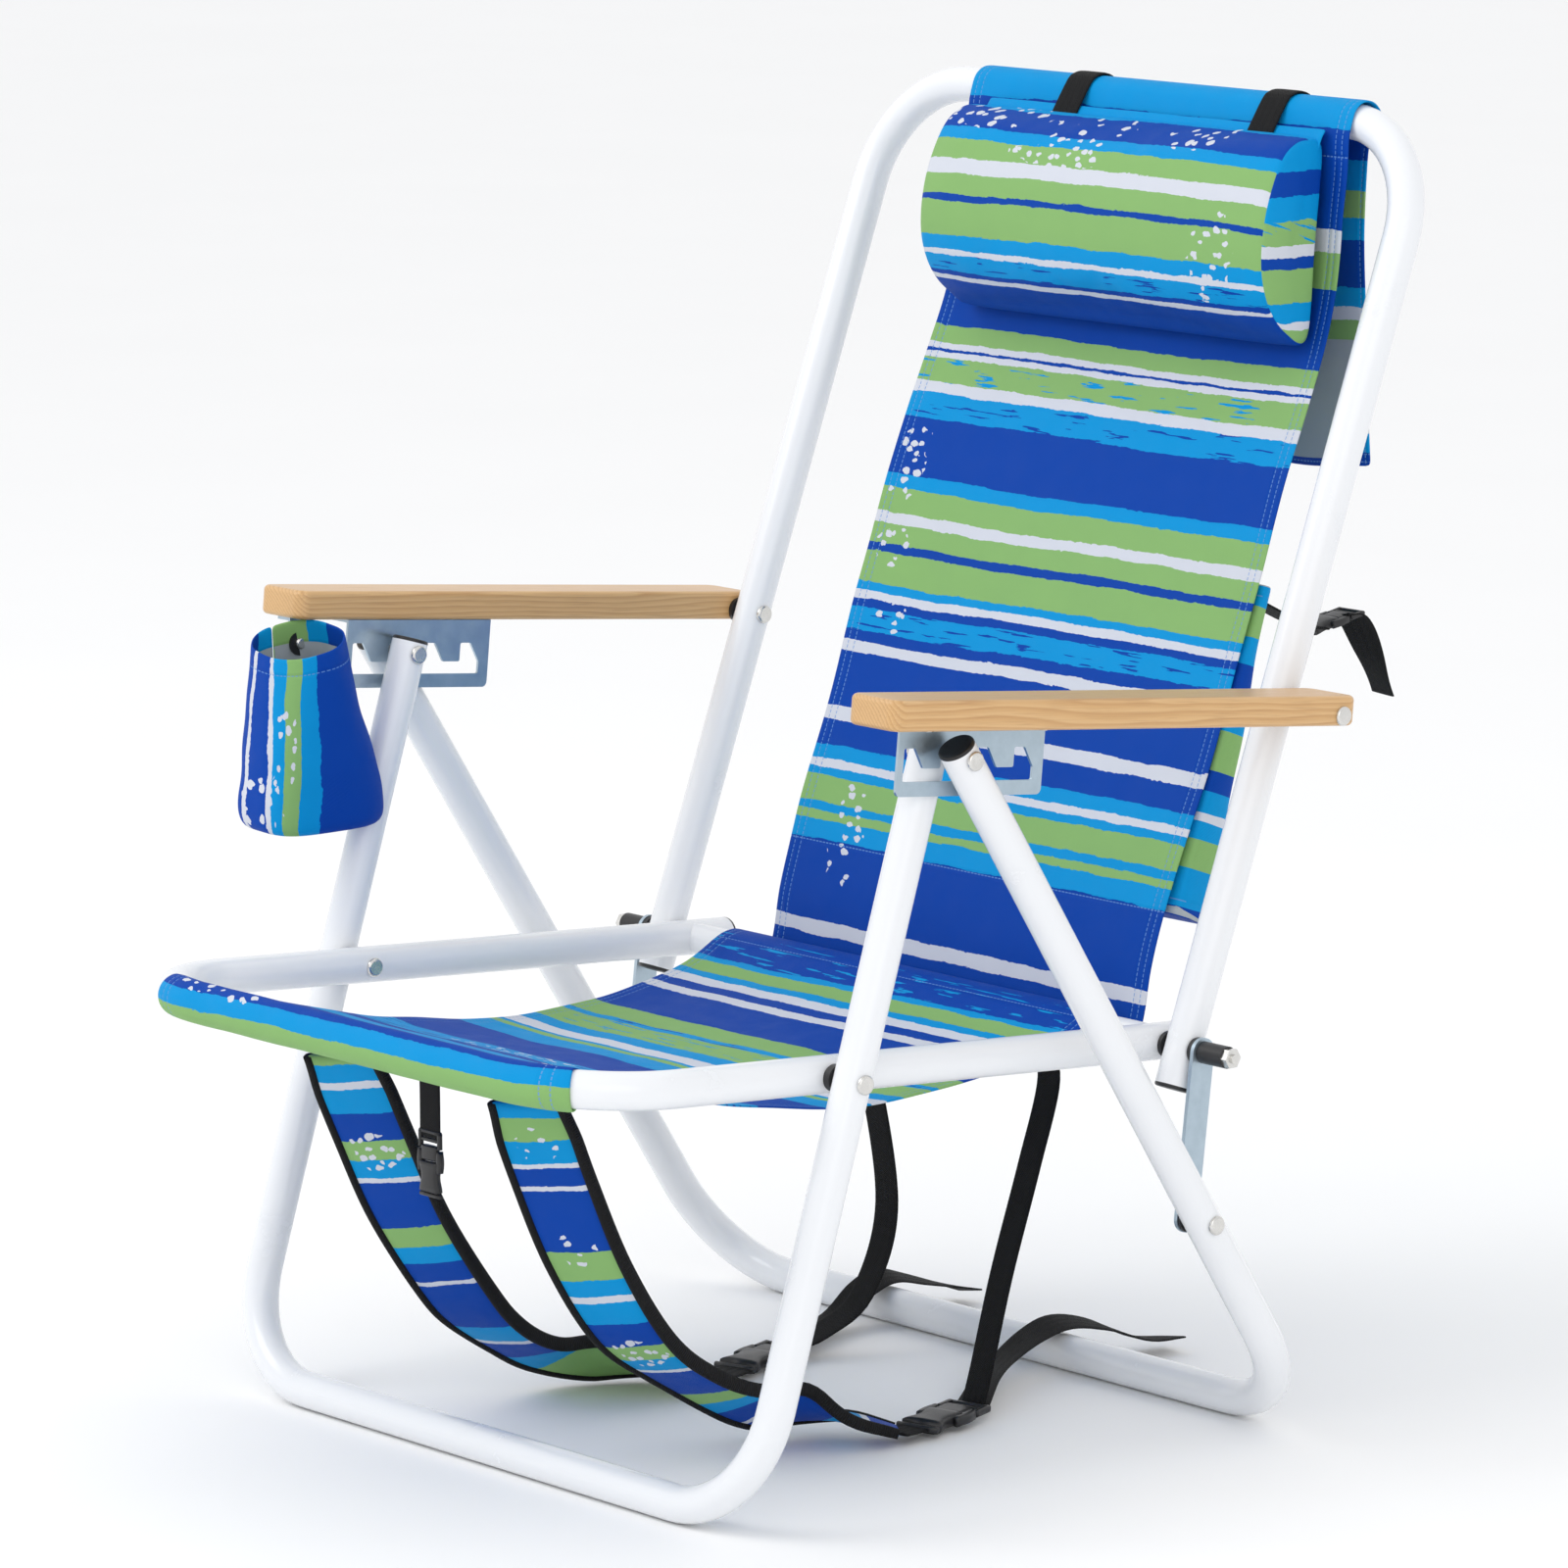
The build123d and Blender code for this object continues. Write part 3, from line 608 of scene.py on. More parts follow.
cloth_seat = printed_cloth(
    "print_seat", SEAT_PRINT, seed=1.0, tilt=-0.014,
    drops=[(-150, -46, 34, 14), (-104, -54, 20, 8), (-40, 118, 70, 16), (70, 100, 60, 16),
           (150, 36, 34, 18)],
    seams=HEMS + [("v", 427), ("v", -26)])
cloth_back = printed_cloth(
    "print_back", BACK_PRINT, seed=11.0,
    drops=[(-170, 362, 16, 30), (-166, 300, 16, 16), (-136, 95, 16, 42), (-150, 250, 14, 12)],
    seams=HEMS + [("v", 86), ("v", 607)])
cloth_pillow = printed_cloth(
    "print_pillow", PILLOW_PRINT, seed=23.0,
    drops=[(-110, 606, 60, 14), (0, 600, 42, 14), (96, 604, 30, 14), (-20, 578, 50, 9),
           (150, 520, 22, 34)])
cloth_end = printed_cloth("print_pillow_end", END_PRINT, seed=31.0, tilt=0.35)
cloth_pouch = printed_cloth(
    "print_pouch", POUCH_PRINT, seed=37.0, drops=[(400, -52, 34, 14), (440, -30, 40, 12)],
    seams=[("u", 500)])
cloth_strap = printed_cloth(
    "print_strap", STRAP_PRINT, seed=43.0, drops=[(0, 30, 18, 14), (0, 110, 18, 16), (0, 205, 20, 16)])
cloth_bag = printed_cloth(
    "print_bag", BAG_PRINT, seed=51.0, drops=[(-120, 170, 40, 20), (80, 250, 40, 18)],
    seams=[("v", 308), ("v", 97), ("u", 192), ("u", -192)])
cloth_flap = printed_cloth(
    "print_flap", FLAP_PRINT, seed=61.0, drops=[(-90, 450, 50, 20), (100, 540, 50, 18)],
    seams=[("v", 419), ("v", 424), ("u", 198), ("u", -198)])
lining = coated_lining()
black_band = webbing()
powder = white_coat()
plastic = moulded_plastic()
zinc = plated("blue_zinc", colour(0.52, 0.62, 0.70), colour(0.36, 0.45, 0.52), 0.24, 90.0)
nickel = plated("bright_nickel", colour(0.80, 0.79, 0.76), colour(0.58, 0.57, 0.55), 0.14, 160.0)
wood = {
    "armrest_left": oiled_wood("wood_left", 0.262),
    "armrest_right": oiled_wood("wood_right", -0.345),
}

slot_materials = {
    "white_tube": powder,
    "black_plastic": plastic,
    "nickel_steel": nickel,
    "zinc_steel": zinc,
}
for subpart in frame["record"].get("subparts", []):
    node = subpart.get("node")
    material = wood.get(node) or slot_materials.get(subpart.get("material_slot"))
    if node in frame["nodes"] and material:
        mesh = frame["nodes"][node].data
        mesh.materials.clear()
        mesh.materials.append(material)


# ---------------------------------------------------------------------------
# Seat and back cloth
# ---------------------------------------------------------------------------

CLOTH = 0.0016
BAG_CLOTH = 0.0018
LOOP_R = TUBE_R + CLOTH
COLUMNS = 56
# Half of the print's width on the seat and the back, in millimetres
PRINT_HALF = 190
# Half widths of the seat cloth: along its sides, at its rear, and at its front on
# the +X side and on the -X side, where it reaches less far round the bar's bend
SEAT_HALF = 0.1905
REAR_HALF = 0.1945
FRONT_HALF = 0.212
SHORT_HALF = 0.194
BACK_HALF = 0.1915


def seat_cloth():
    """Sling seat: wrapped round the curved front bar, sagging, and wrapped round
    the cross tube behind."""
    bend = 0.075
    straight = SEAT_RAIL_X - bend

    def front(t):
        """Half width of the front on one side, and the same along the bent bar."""
        half = FRONT_HALF if t > 0 else SHORT_HALF
        return half, straight + bend * math.asin((half - straight) / bend)

    sheet = curve([side(-20, 303), side(30, 287), side(85, 271), side(145, 257), side(215, 247),
                   side(275, 246), side(340, 252), side(394, 263), side(431, 281)], 52)
    rows, prints = [], []
    turns, wrap = 16, 210
    for i in range(turns + 1):
        angle = math.radians(-60 - wrap * i / turns)
        row, row_print = [], []
        for t in spread(COLUMNS):
            along_bar = abs(t) * front(t)[1]
            lean = max(along_bar - straight, 0) / bend
            x = min(along_bar, straight) + bend * math.sin(lean)
            shift = bend * (1 - math.cos(lean))
            reach = LOOP_R + 0.0004 * ripple(t * 0.2, i * 0.004, 3, 0.03)
            out = -reach * math.cos(angle)
            centre_y = SEAT_BAR[0] + SEAT_REARWARD[0] * shift
            centre_z = SEAT_BAR[1] + SEAT_REARWARD[1] * shift
            row.append((math.copysign(x + out * math.sin(lean), t or 1),
                        centre_y - out * math.cos(lean), centre_z + reach * math.sin(angle)))
            around = LOOP_R * math.radians(wrap - wrap * i / turns) / MM
            row_print.append((t * 194, -46.4 - around))
        rows.append(row)
        prints.append(row_print)
    for i, (y, z) in enumerate(sheet):
        share = i / (len(sheet) - 1)
        v = (y - SIDE_ZERO) / MM
        row, row_print = [], []
        for t in spread(COLUMNS):
            front_half, reach = front(t)
            half = front_half + (SEAT_HALF - front_half) * ease(v, -46, 60)
            half += 0.004 * ease(v, 330, 440)
            lean = max(abs(t) * reach - straight, 0) / bend
            shift = bend * (1 - math.cos(lean)) * (1 - ease(v, -25, 50))
            wave = 0.0016 * ripple(t * 0.2, v * MM, 5, 0.05) * math.sin(math.pi * share)
            curl = 0.0030 * abs(t) ** 6 * math.sin(math.pi * share)
            edge = half + 0.0012 * ripple(0, v * MM, 6 if t > 0 else 7, 0.06)
            row.append((t * edge, y + shift, z + wave + curl))
            row_print.append((t * PRINT_HALF, v))
        rows.append(row)
        prints.append(row_print)
    rear_r = CROSS_TUBE_R + 0.0018
    turns, wrap = 11, 230
    for i in range(1, turns + 1):
        turned = wrap * i / turns
        angle = math.radians(120 - turned)
        y = SEAT_BACK[0] + rear_r * math.cos(angle)
        z = SEAT_BACK[1] + rear_r * math.sin(angle)
        v = 440 + rear_r * math.radians(turned) / MM
        rows.append([(t * REAR_HALF, y, z) for t in spread(COLUMNS)])
        prints.append([(t * PRINT_HALF, v) for t in spread(COLUMNS)])
    thing = sheet_piece("seat_cloth", rows, prints, CLOTH)
    finish_piece(thing, "seat", [cloth_seat, lining], ["seat_sling"])


def back_cloth():
    """Sling back: wrapped over the top bar, hollow in the middle, and led down
    behind the seat's cross tube."""
    top, reach = BACK_LENGTH / MM, LOOP_R / MM
    turns, wrap = 14, 215
    loop = []
    for i in range(turns + 1):
        angle = math.radians(wrap - wrap * i / turns)
        loop.append((top + reach * math.sin(angle), reach * math.cos(angle)))
    sheet = curve([(top - 14, 13.6), (590, 3), (540, -10), (490, -17), (440, -16), (380, -12),
                   (320, -11.5), (200, -13), (100, -10), (50, -10), (20, -14.6), (0, -15.6),
                   (-12, -10.5)], 76)
    middle = 0.018
    rows, prints = [], []
    for k, (up, forward) in enumerate(loop + [tuple(p) for p in sheet]):
        in_loop = k < len(loop)
        v = top + reach * math.radians(wrap - wrap * k / turns) if in_loop else up
        half = BACK_HALF if in_loop else BACK_HALF + 0.0050 * math.sin(math.pi * ease(up, 0, top))
        row, row_print = [], []
        for t in spread(COLUMNS):
            loose = 0.0 if in_loop else ease(up, 20, 120) * (1 - ease(up, 560, 620))
            wave = 1.5 * ripple(t * 0.2, up * MM, 15, 0.06) * loose
            pull = 2.6 * abs(t) ** 5 * loose
            y, z = on_back(up, forward + wave + pull)
            edge = half + 0.0013 * ripple(0, up * MM, 16 if t > 0 else 17, 0.07) * loose
            row.append((middle + t * edge, y, z))
            row_print.append((t * PRINT_HALF, v))
        rows.append(row)
        prints.append(row_print)
    thing = sheet_piece("back_cloth", rows, prints, CLOTH)
    finish_piece(thing, None, [cloth_back, lining], ["back_sling"])
    start, end = on_back(0, 0), on_back(75, 0)
    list(start)
    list(end)
    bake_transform(thing)


# ---------------------------------------------------------------------------
# Head pillow
# ---------------------------------------------------------------------------

PILLOW_X = 0.022
PILLOW_HALF = 0.173
# Middle of the D ends, millimetres up the back and forward of it
PILLOW_UP = 546
PILLOW_FORWARD = 22
PILLOW_OUTLINE = [(482, -10), (548, 2), (611, 14), (617, 24), (612, 37), (594, 49), (556, 54),
                  (518, 48), (492, 32), (479, 10)]


def weld(thing):
    """Joins the points that meet and turns every face outwards."""
    welded = bmesh.new()
    welded.from_mesh(thing.data)
    bmesh.ops.remove_doubles(welded, verts=welded.verts, dist=1e-5)
    bmesh.ops.recalc_face_normals(welded, faces=welded.faces)
    welded.to_mesh(thing.data)
    welded.free()


def swell(thing, pressure, cap_at, frames=20):
    """Cloth simulation under pressure, with each point's travel capped."""
    rest = np.array([v.co for v in thing.data.vertices], float)
    cloth = thing.modifiers.new("swell", "CLOTH")
    cloth.settings.use_pressure = True
    cloth.settings.uniform_pressure_force = pressure
    cloth.settings.effector_weights.gravity = 0
    cloth.point_cache.frame_start = 1
    cloth.point_cache.frame_end = frames
    scene = bpy.context.scene
    for step in range(1, frames + 1):
        scene.frame_set(step)
    graph = bpy.context.evaluated_depsgraph_get()
    mesh = thing.evaluated_get(graph).to_mesh()
    moved = np.array([v.co for v in mesh.vertices], float)
    thing.evaluated_get(graph).to_mesh_clear()
    thing.modifiers.clear()
    scene.frame_set(1)
    travel = moved - rest
    length = np.linalg.norm(travel, axis=1)
    limit = np.array([cap_at(p) for p in rest])
    travel *= np.minimum(1.0, limit / np.maximum(length, 1e-9))[:, None]
    thing.data.vertices.foreach_set("co", (rest + travel).astype(np.float32).ravel())
    thing.data.update()


def back_measure(point):
    """Millimetres up the back and forward of it, of a point in the frame."""
    dy, dz = point[1] - SEAT_BACK[0], point[2] - SEAT_BACK[1]
    up = dy * BACK_UP[0] + dz * BACK_UP[1]
    forward = -dy * BACK_UP[1] + dz * BACK_UP[0]
    return up / MM, forward / MM


def head_pillow():
    """Half-round stuffed pillow with flat D ends, swollen by a cloth simulation."""
    outline = curve(PILLOW_OUTLINE, 64, closed=True)
    rows = []
    for t in spread(60):
        shrink = 1 - 0.035 * abs(t) ** 12
        row = []
        for up, forward in outline:
            y, z = on_back(PILLOW_UP + (up - PILLOW_UP) * shrink,
                           PILLOW_FORWARD + (forward - PILLOW_FORWARD) * shrink)
            row.append((PILLOW_X + 0.07 * (PILLOW_UP - up) * MM + t * PILLOW_HALF, y, z))
        rows.append(row)
    shape = Shape()
    shape.grid(rows, closed=True)
    for rim in (rows[0], rows[-1]):
        rim = [Vector(point) for point in rim]
        heart = sum(rim, Vector()) / len(rim)
        rings = [[point.lerp(heart, k / 9) for point in rim] for k in range(10)]
        shape.grid(rings, closed=True, material=1)
    thing = shape.build("head_pillow_cover")
    weld(thing)
    def cap_at(point):
        up, forward = back_measure(point)
        inside = 1 - ease(abs(point[0] - PILLOW_X), PILLOW_HALF - 0.012, PILLOW_HALF - 0.001)
        crown = ease(forward - 0.19 * (up - PILLOW_UP), 6, 20)
        return (0.0008 + 0.0048 * inside) * crown + 0.0004
    swell(thing, 4.0, cap_at)
    mesh = thing.data
    layer = mesh.uv_layers["print"]
    for face in mesh.polygons:
        end = face.material_index == 1
        for index in face.loop_indices:
            place = mesh.vertices[mesh.loops[index].vertex_index].co
            up, forward = back_measure(place)
            under = 0.55 * max(46 - forward, 0) * (1 - ease(up, 484, 508))
            layer.data[index].uv = (forward, up) if end else (place.x / MM, up - under)
    smooth = thing.modifiers.new("smooth", "SUBSURF")
    smooth.levels = smooth.render_levels = 1
    finish_piece(thing, "back", [cloth_pillow, cloth_end], ["head_pillow"])

    strip = curve([(608, 19), (616, 19), (623, 17)], 8)
    rows, prints = [], []
    for up, forward in strip:
        row, row_print = [], []
        for t in spread(40):
            y, z = on_back(up, forward + 1.2 * ripple(t * 0.2, up * MM, 25, 0.04))
            row.append((PILLOW_X + t * (PILLOW_HALF - 0.004), y, z))
            row_print.append((t * 170, up + 20))
        rows.append(row)
        prints.append(row_print)
    flange = sheet_piece("pillow_flange", rows, prints, BAG_CLOTH)
    finish_piece(flange, "back", [cloth_pillow, lining])


# ---------------------------------------------------------------------------
# Webbing, buckles and straps
# ---------------------------------------------------------------------------

# Webbing of the loose tails is thinner than the rest
TAIL_THICK = 0.0016


def band_along(shape, path, width=0.025, thickness=0.0018, across=(1, 0, 0), count=48):
    """Adds flat webbing along a path in the frame."""
    shape.loft(curve(path, count), width / 2, thickness / 2, across=across, sides=14, square=5.0)


def band_on(shape, points, *size, **settings):
    """Adds flat webbing through points written as space() takes them."""
    band_along(shape, [space(*point) for point in points], *size, **settings)


def pillow_webbing():
    """Two webbing loops that hang the pillow on the top bar."""
    top = BACK_LENGTH / MM
    reach = LOOP_R / MM + 2.0
    shape = Shape()
    for middle in (-0.064, 0.132):
        line = [on_back(613, 21.5), on_back(622, 19.6)]
        for degrees in (25, 50, 75, 100, 125, 150, 175):
            angle = math.radians(degrees)
            line.append(on_back(top + reach * math.sin(angle), reach * math.cos(angle)))
        line += [on_back(600, -reach - 2.0), on_back(568, -reach - 3.0)]
        band_along(shape, [(middle, y, z) for y, z in line])
    thing = shape.build("pillow_webbing")
    finish_piece(thing, "back", [black_band], ["pillow_hangers"])


def buckle_shape(shape, centre, forward, across, scale=1.0):
    """Side-release buckle: a waisted socket, two side latches and two strap bars."""
    centre, forward = Vector(centre), Vector(forward).normalized()
    across = Vector(across).normalized()

    def line(start, end, count=9):
        a, b = centre + forward * start * scale, centre + forward * end * scale
        return [a.lerp(b, i / (count - 1)) for i in range(count)]

    def socket_wide(share):
        return scale * (0.0155 - 0.0035 * math.sin(math.pi * share) ** 2)

    shape.loft(line(-0.026, 0.004), socket_wide, 0.0048 * scale, across=across, square=4.0)
    shape.loft(line(0.006, 0.020), 0.0125 * scale, 0.0038 * scale, across=across, square=4.0)
    for sign in (-1, 1):
        aside = sign * 0.0150 * scale
        shape.loft(line(-0.006, 0.016), lambda s: scale * (0.0020 + 0.0022 * math.sin(math.pi * s)),
                   0.0036 * scale, across=across, offset=aside, square=3.0)
        shape.loft(line(0.018, 0.034), 0.0022 * scale, 0.0026 * scale, across=across,
                   offset=aside, square=3.0)
    for place in (0.026, 0.034, -0.030):
        bar = [centre + forward * place * scale + across * scale * w * 0.0160
               for w in (-1, -0.5, 0, 0.5, 1)]
        shape.loft(bar, 0.0022 * scale, 0.0022 * scale, across=forward, sides=10, square=2.4)


def hang(shape, name, slot, material, *replaced):
    """A piece that hangs from the seat."""
    thing = finish_piece(shape.build(name), "seat", [material], replaced)
    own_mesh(thing)


def shoulder_strap(name, path, print_start, node):
    """Padded printed strap with a black binding on both edges."""
    points = curve([space(*point) for point in path], 70)
    pad = Shape()

    def plump(share):
        return 0.0030 + 0.0016 * math.sin(math.pi * share) ** 0.5

    def narrow(share):
        return 0.0290 - 0.0125 * ease(share, 0.88, 1.0) - 0.003 * (1 - ease(share, 0.0, 0.08))

    def skew(share):
        hanging = Vector((0.93, 0.36, 0))
        lying = Vector((0.55, -0.45, 0.55))
        flat = Vector((1, -0.25, 0))
        turned = hanging.lerp(lying, ease(share, 0.55, 0.82))
        return turned.lerp(flat, ease(share, 0.80, 0.96))

    pad.loft(points, narrow, plump, across=skew, sides=20, square=3.0, run=print_start)
    hang(pad, name, "striped_cloth", cloth_strap, node)

    binding = Shape()
    for sign in (-1, 1):
        edge = []
        for i, point in enumerate(points):
            share = i / (len(points) - 1)
            before, after = points[max(i - 1, 0)], points[min(i + 1, len(points) - 1)]
            tangent = Vector(after - before).normalized()
            outward = skew(share) - tangent * skew(share).dot(tangent)
            edge.append(Vector(point) + outward.normalized() * sign * narrow(share))
        binding.loft(edge, 0.0036, lambda s: plump(s) + 0.0005, across=skew, sides=12, square=2.6)
    hang(binding, name + "_binding", "black_webbing", black_band)


def carrying_straps():
    """Two shoulder straps that hang under the seat and lie on the floor, with
    their buckles, adjusting webbing and loose tails."""
    shoulder_strap("strap_pad_left", [
        (97, 22, 266), (97, 44, 211), (97, 73, 149), (97, 110, 95), (98, 150, 64),
        (100, 200, 38), (108, 246, 26), (126, 276, 17), (143, 298, 9)], 0, "shoulder_strap_left")
    shoulder_strap("strap_pad_right", [
        (-100, 22, 266), (-100, 50, 205), (-100, 78, 148), (-100, 116, 92), (-101, 142, 64),
        (-104, 179, 41), (-104, 216, 28), (-88, 250, 22), (-62, 278, 15), (-52, 305, 9)],
        130, "shoulder_strap_right")
    buckles = Shape()
    buckle_shape(buckles, space(133, 348, 8), (-0.28, 1, 0.02), (1, 0.28, 0))
    buckle_shape(buckles, space(-74, 362, 8), (-0.30, 1, 0.02), (1, 0.30, 0))
    hang(buckles, "strap_buckles_detailed", "black_plastic", plastic, "strap_buckles")

    left = Shape()
    band_on(left, [(143, 296, 8), (139, 318, 7)], count=8)
    band_on(left, [(124, 384, 8), (119, 396, 30), (113, 420, 92), (107, 450, 160),
                   (105, 470, 216), (105, 463, 242), (105, 447, 257)], 0.0225)
    band_on(left, [(123, 384, 8), (96, 420, 14), (74, 456, 18), (63, 492, 27),
                   (61, 521, 32), (64, 552, 26), (72, 586, 12), (78, 616, 9)],
            thickness=TAIL_THICK, across=lambda s: (1, 0.2, 0.25 * math.sin(s * 7)))
    hang(left, "strap_band_left", "black_webbing", black_band, "strap_webbing_left")
    right = Shape()
    band_on(right, [(-52, 303, 8), (-62, 333, 7)], count=8)
    band_on(right, [(-84, 397, 8), (-72, 418, 18), (-62, 447, 42), (-76, 482, 100),
                    (-93, 478, 200), (-95, 464, 240), (-95, 447, 257)], 0.0235)
    band_on(right, [(-85, 397, 7), (-104, 430, 10), (-117, 470, 12), (-120, 496, 26),
                    (-122, 521, 32), (-124, 552, 24), (-125, 604, 8)],
            thickness=TAIL_THICK, across=lambda s: (1, 0.1, 0.25 * math.sin(s * 6 + 1)))
    hang(right, "strap_band_right", "black_webbing", black_band, "strap_webbing_right")

    centre = Shape()
    band_on(centre, [(0, 18, 284), (0, 19, 262), (0, 19, 227)], 0.021, count=16)
    hang(centre, "centre_band", "black_webbing", black_band, "centre_strap")
    socket = Shape()
    buckle_shape(socket, space(0, 19, 208), (0, 0, 1), (1, 0, 0), scale=0.66)
    hang(socket, "centre_buckle_detailed", "black_plastic", plastic, "centre_buckle")


# ---------------------------------------------------------------------------
# Storage bag and flap behind the back
# ---------------------------------------------------------------------------

POCKET_X = 0.021
POCKET_HALF = 192


def storage_bag():
    """Gusseted, sagging pocket on the back cloth, open at the top, with its flap."""
    gusset = 6
    columns, last = 60, 44
    rows, prints = [], []
    for i in range(last + 1):
        lift = min(i / gusset, 1.0)
        share = max(i - gusset, 0) / (last - gusset)
        up = 92 - 6 * lift + 230 * share
        edge = 46 - 12 * ease(share, 0.0, 0.5) - 13 * ease(share, 0.45, 1.0)
        fall = math.sin(math.pi * min(share * 0.62 + 0.10, 1.0))
        row, row_print = [], []
        for j in range(columns + 1):
            inward = min(j, columns - j)
            t = max(min((2 * j - columns) / (columns - 2 * gusset), 1.0), -1.0)
            belly = (1 - abs(t) ** 2.4) * fall
            depth = edge + 17 * belly + 2.2 * ripple(t * 0.2, share * 0.2, 33, 0.05) * fall
            rise = min(lift, max(min((inward - 1) / (gusset - 1), 1.0), 0.0))
            tuck = 14 * max(1 - inward, 0)
            y, z = on_back(up - 6 * belly * share, -13.5 - (depth - 13.5) * rise)
            half = POCKET_HALF - tuck + 2 * math.sin(math.pi * rise)
            row.append((POCKET_X + t * half * MM, y, z))
            row_print.append((t * 190 + 3 * (j - columns / 2) / 6, up))
        rows.append(row)
        prints.append(row_print)
    thing = sheet_piece("storage_pocket", rows, prints, BAG_CLOTH, lined=True)
    finish_piece(thing, "back", [lining, cloth_bag], ["storage_bag"])

    top = BACK_LENGTH / MM
    rows, prints = [], []
    line = curve([(top - 6, -17.5), (612, -20), (560, -34), (505, -54), (455, -73), (416, -88)], 40)
    for i, (up, forward) in enumerate(line):
        share = i / (len(line) - 1)
        row, row_print = [], []
        for t in spread(48):
            wave = share * (4.5 * math.sin(t * 7.0 + 0.6) + 3 * ripple(t * 0.2, up * MM, 41, 0.07))
            y, z = on_back(up + 3 * share * math.cos(t * 5), forward + wave)
            row.append((0.006 + t * (0.192 + 0.016 * share), y, z))
            row_print.append((t * 202, up))
        rows.append(row)
        prints.append(row_print)
    shape = Shape()
    shape.grid(rows, prints)
    # Hems and the part above the facing show the print on both faces
    for k, face in enumerate(shape.faces):
        across, up = shape.prints[face[0]]
        if up > 500 or up < 426 or abs(across) > 186:
            shape.materials[k] = 2
    thing = shape.build("storage_flap")
    thicken(thing, BAG_CLOTH, lined=True)
    finish_piece(thing, "back", [cloth_flap, lining, cloth_flap, cloth_flap],
                 ["storage_lid"])

    shape = Shape()
    band_on(shape, [(188, 570, 550), (197, 590, 538), (200, 608, 529), (201, 628, 524)], count=24)
    band_on(shape, [(201, 646, 530), (202, 661, 526), (202, 676, 502), (203, 689, 472)],
            thickness=TAIL_THICK, count=30, across=lambda s: (1, 0.25 * math.sin(s * 5), 0.2))
    thing = shape.build("storage_band")
    finish_piece(thing, "back", [black_band], ["storage_strap"])
    shape = Shape()
    buckle_shape(shape, space(201, 636, 527), (0, 0.94, 0.18), (1, 0, 0), scale=0.72)
    thing = shape.build("storage_buckle")
    finish_piece(thing, "back", [plastic])


# ---------------------------------------------------------------------------
# Cup pouch
# ---------------------------------------------------------------------------

def cup_pouch():
    """Cloth pocket, wide at its foot, with a slanted mouth under the armrest."""
    # height, middle x, middle y, half x, half y, squareness, all lengths in millimetres
    sections = curve([(386, -268, 128, 20, 34, 0.60), (387, -268, 128, 27, 46, 0.58),
                      (398, -269, 129, 30, 50, 0.58), (430, -269, 127, 30.5, 45, 0.62),
                      (468, -270, 123, 30.5, 37, 0.70), (500, -270, 121, 30, 32, 0.80),
                      (514, -270, 120, 29.5, 30, 0.85)], 34)
    rows, prints = [], []
    wide = 56
    for height, cx, cy, hx, hy, square in sections:
        share = max((height - 386) / 128, 0)
        row, row_print = [], []
        for j in range(wide + 1):
            angle = math.tau * j / wide - math.pi
            c, s = math.cos(angle), math.sin(angle)
            slant = 9 * share ** 3 * (0.76 * s - 0.65 * c) - 2 * (1 - share) ** 2 * c
            c = math.copysign(abs(c) ** square, c)
            s = math.copysign(abs(s) ** square, s)
            crease = 1 + 0.045 * ripple(c * 0.05, height * MM, 55, 0.03)
            row.append(space(cx + hx * c * crease, cy + hy * s * crease, height + slant))
            row_print.append((height, math.degrees(angle) * 0.61))
        rows.append(row)
        prints.append(row_print)
    shape = Shape()
    shape.grid(rows, prints)
    # The hem shows the print inside the mouth
    for k, face in enumerate(shape.faces):
        if shape.prints[face[0]][0] > 500:
            shape.materials[k] = 2
    floor_rows = [[space(-268, 128, 387)] * (wide + 1), rows[0]]
    floor_prints = [[(370, p[1]) for p in prints[0]], prints[0]]
    shape.grid(floor_rows, floor_prints)
    thing = shape.build("cup_pouch_cloth")
    thicken(thing, CLOTH, lined=True)
    finish_piece(thing, "armrest_right_body",
                 [cloth_pouch, lining, cloth_pouch, cloth_pouch], ["cup_pouch"])


seat_cloth()
back_cloth()
head_pillow()
pillow_webbing()
carrying_straps()
storage_bag()
cup_pouch()


# ---------------------------------------------------------------------------
# Floor, light and camera
# ---------------------------------------------------------------------------

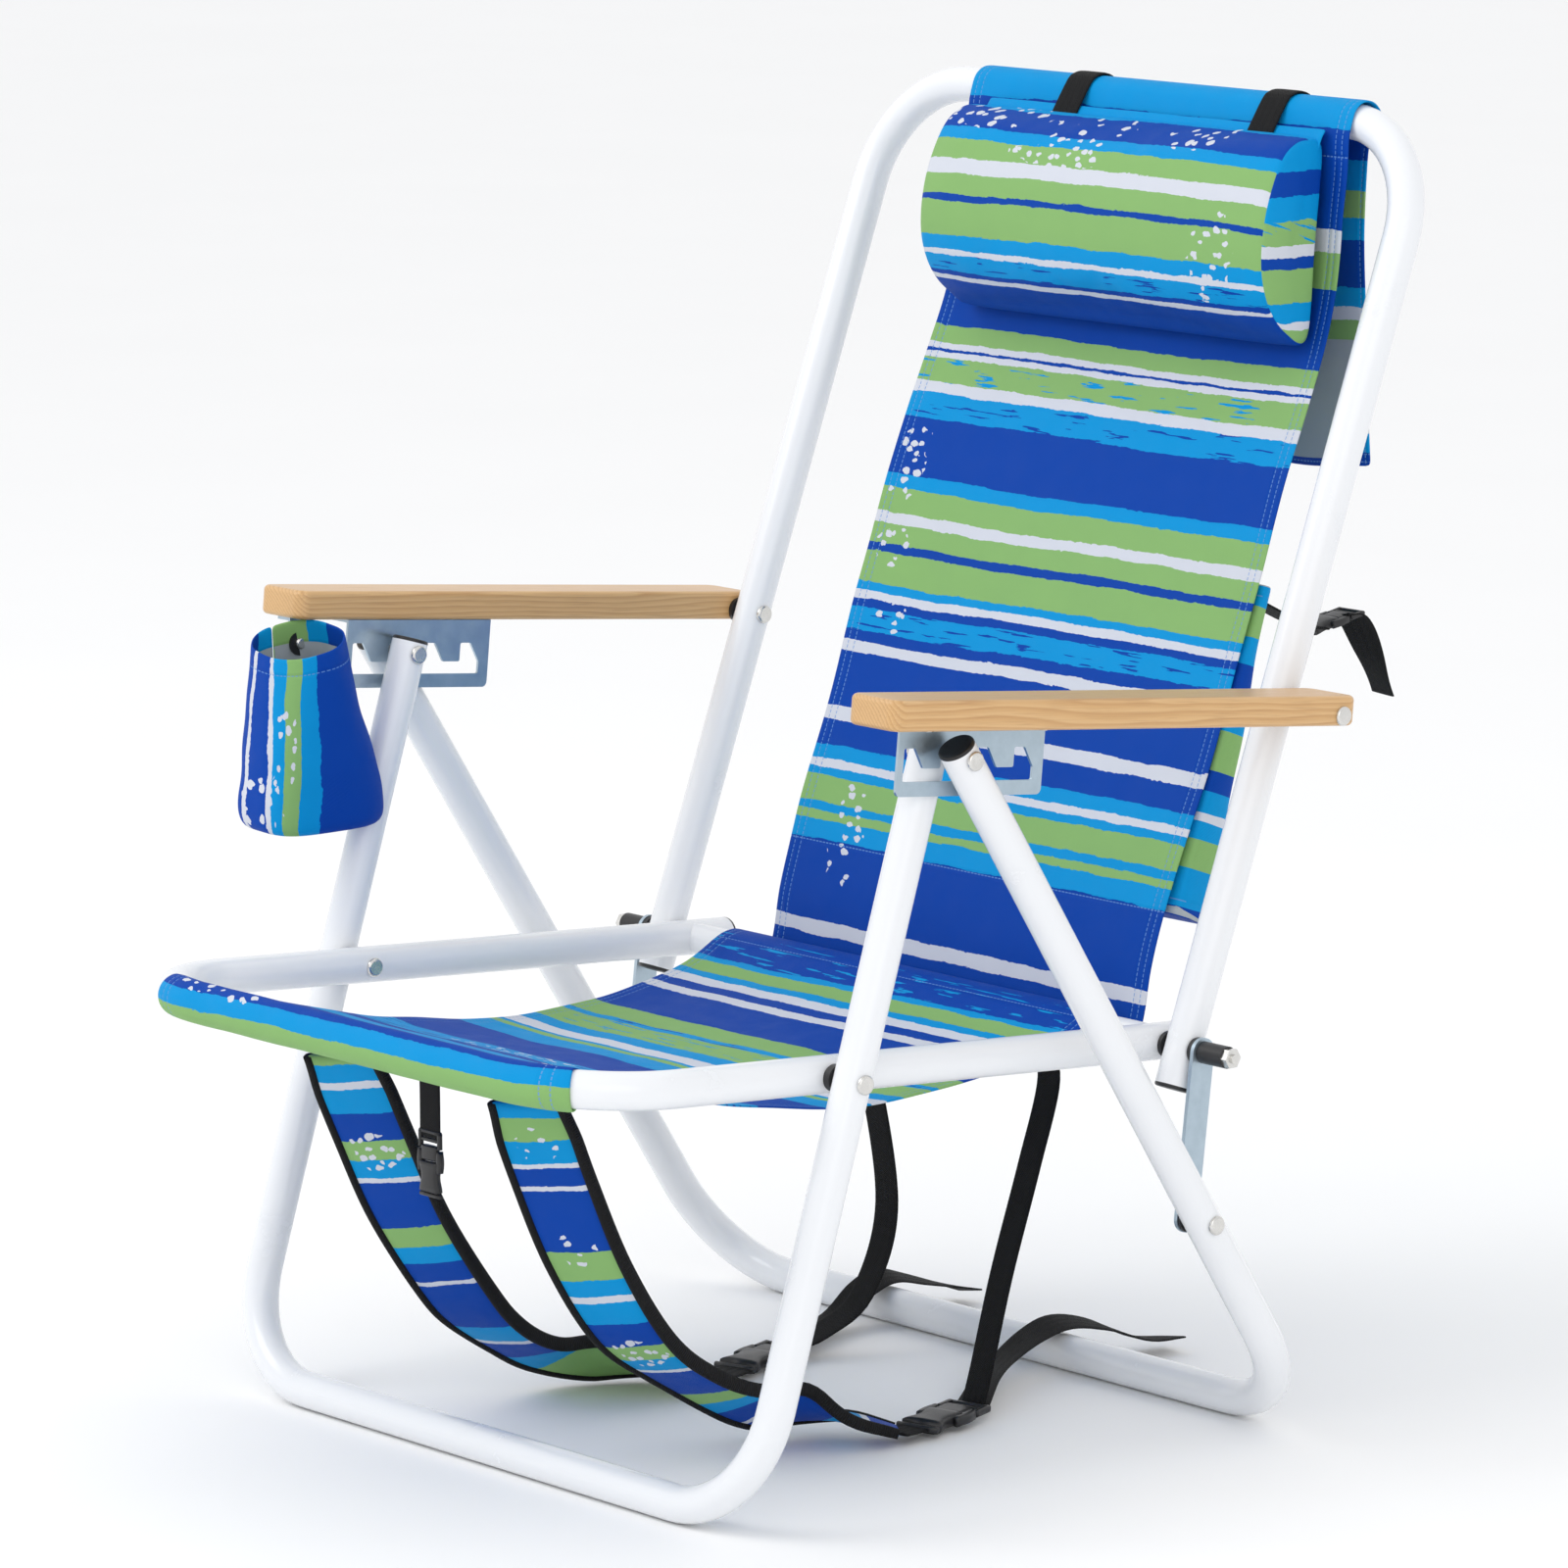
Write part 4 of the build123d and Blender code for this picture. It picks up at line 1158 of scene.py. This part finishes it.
def studio():
    """Pale floor, white surroundings and two soft lamps."""
    shape = Shape()
    reach = 60.0
    shape.grid([[(-reach, -reach, 0), (reach, -reach, 0)], [(-reach, reach, 0), (reach, reach, 0)]])
    floor = shape.build("studio_floor")
    graph = Graph("pale_floor")
    tone = graph.noise(graph.place(), 3.0, 2.0)
    tint = graph.mix(tone, colour(0.95, 0.95, 0.95), colour(0.97, 0.97, 0.97))
    floor.data.materials.append(graph.surface(Base_Color=tint, Roughness=0.8))
    just_below = -0.0004
    floor.location.z = just_below
    world = bpy.data.worlds.new("studio")
    world.use_nodes = True
    backdrop = world.node_tree.nodes["Background"]
    backdrop.inputs["Color"].default_value = colour(0.985, 0.99, 1.0)
    backdrop.inputs["Strength"].default_value = 0.97
    scene = bpy.context.scene
    scene.world = world
    scene.view_settings.view_transform = "Standard"
    lamps = (
        ("key", (-1.6, -2.6, 3.2), 2.2, 44.0),
        ("fill", (3.0, -1.6, 1.8), 2.4, 15.0),
    )
    for name, place, size, power in lamps:
        light = bpy.data.lights.new(name, "AREA")
        light.size = size
        light.energy = power
        lamp = bpy.data.objects.new(name, light)
        lamp.location = place
        aim = Vector((0, 0, 0.4)) - Vector(place)
        lamp.rotation_mode = "QUATERNION"
        lamp.rotation_quaternion = aim.to_track_quat("-Z", "Y")
        scene.collection.objects.link(lamp)


def camera():
    """Camera at the photograph's viewing angle."""
    azimuth = math.radians(49.5448)
    height = math.radians(10.0068)
    roll = math.radians(-0.2369)
    distance = 4.1286
    sensor_width = 36.0
    focal_length = 183.6515
    target = Vector(space(945.055, -481.771, 644.618))
    backward = Vector((math.sin(azimuth) * math.cos(height),
                       -math.cos(azimuth) * math.cos(height), math.sin(height)))
    ahead = -backward
    right = ahead.cross(Vector((0, 0, 1))).normalized()
    up = right.cross(ahead)
    turned = right * math.cos(roll) + up * math.sin(roll)
    upright = up * math.cos(roll) - right * math.sin(roll)
    lens = bpy.data.cameras.new("photo_view")
    lens.sensor_width = sensor_width
    lens.lens = focal_length
    eye = bpy.data.objects.new("photo_view", lens)
    place = target + backward * distance
    matrix = [[turned[k], upright[k], backward[k], place[k]] for k in range(3)] + [[0, 0, 0, 1]]
    bpy.context.scene.collection.objects.link(eye)
    eye.matrix_world = Matrix(matrix)
    bpy.context.scene.camera = eye


studio()
camera()
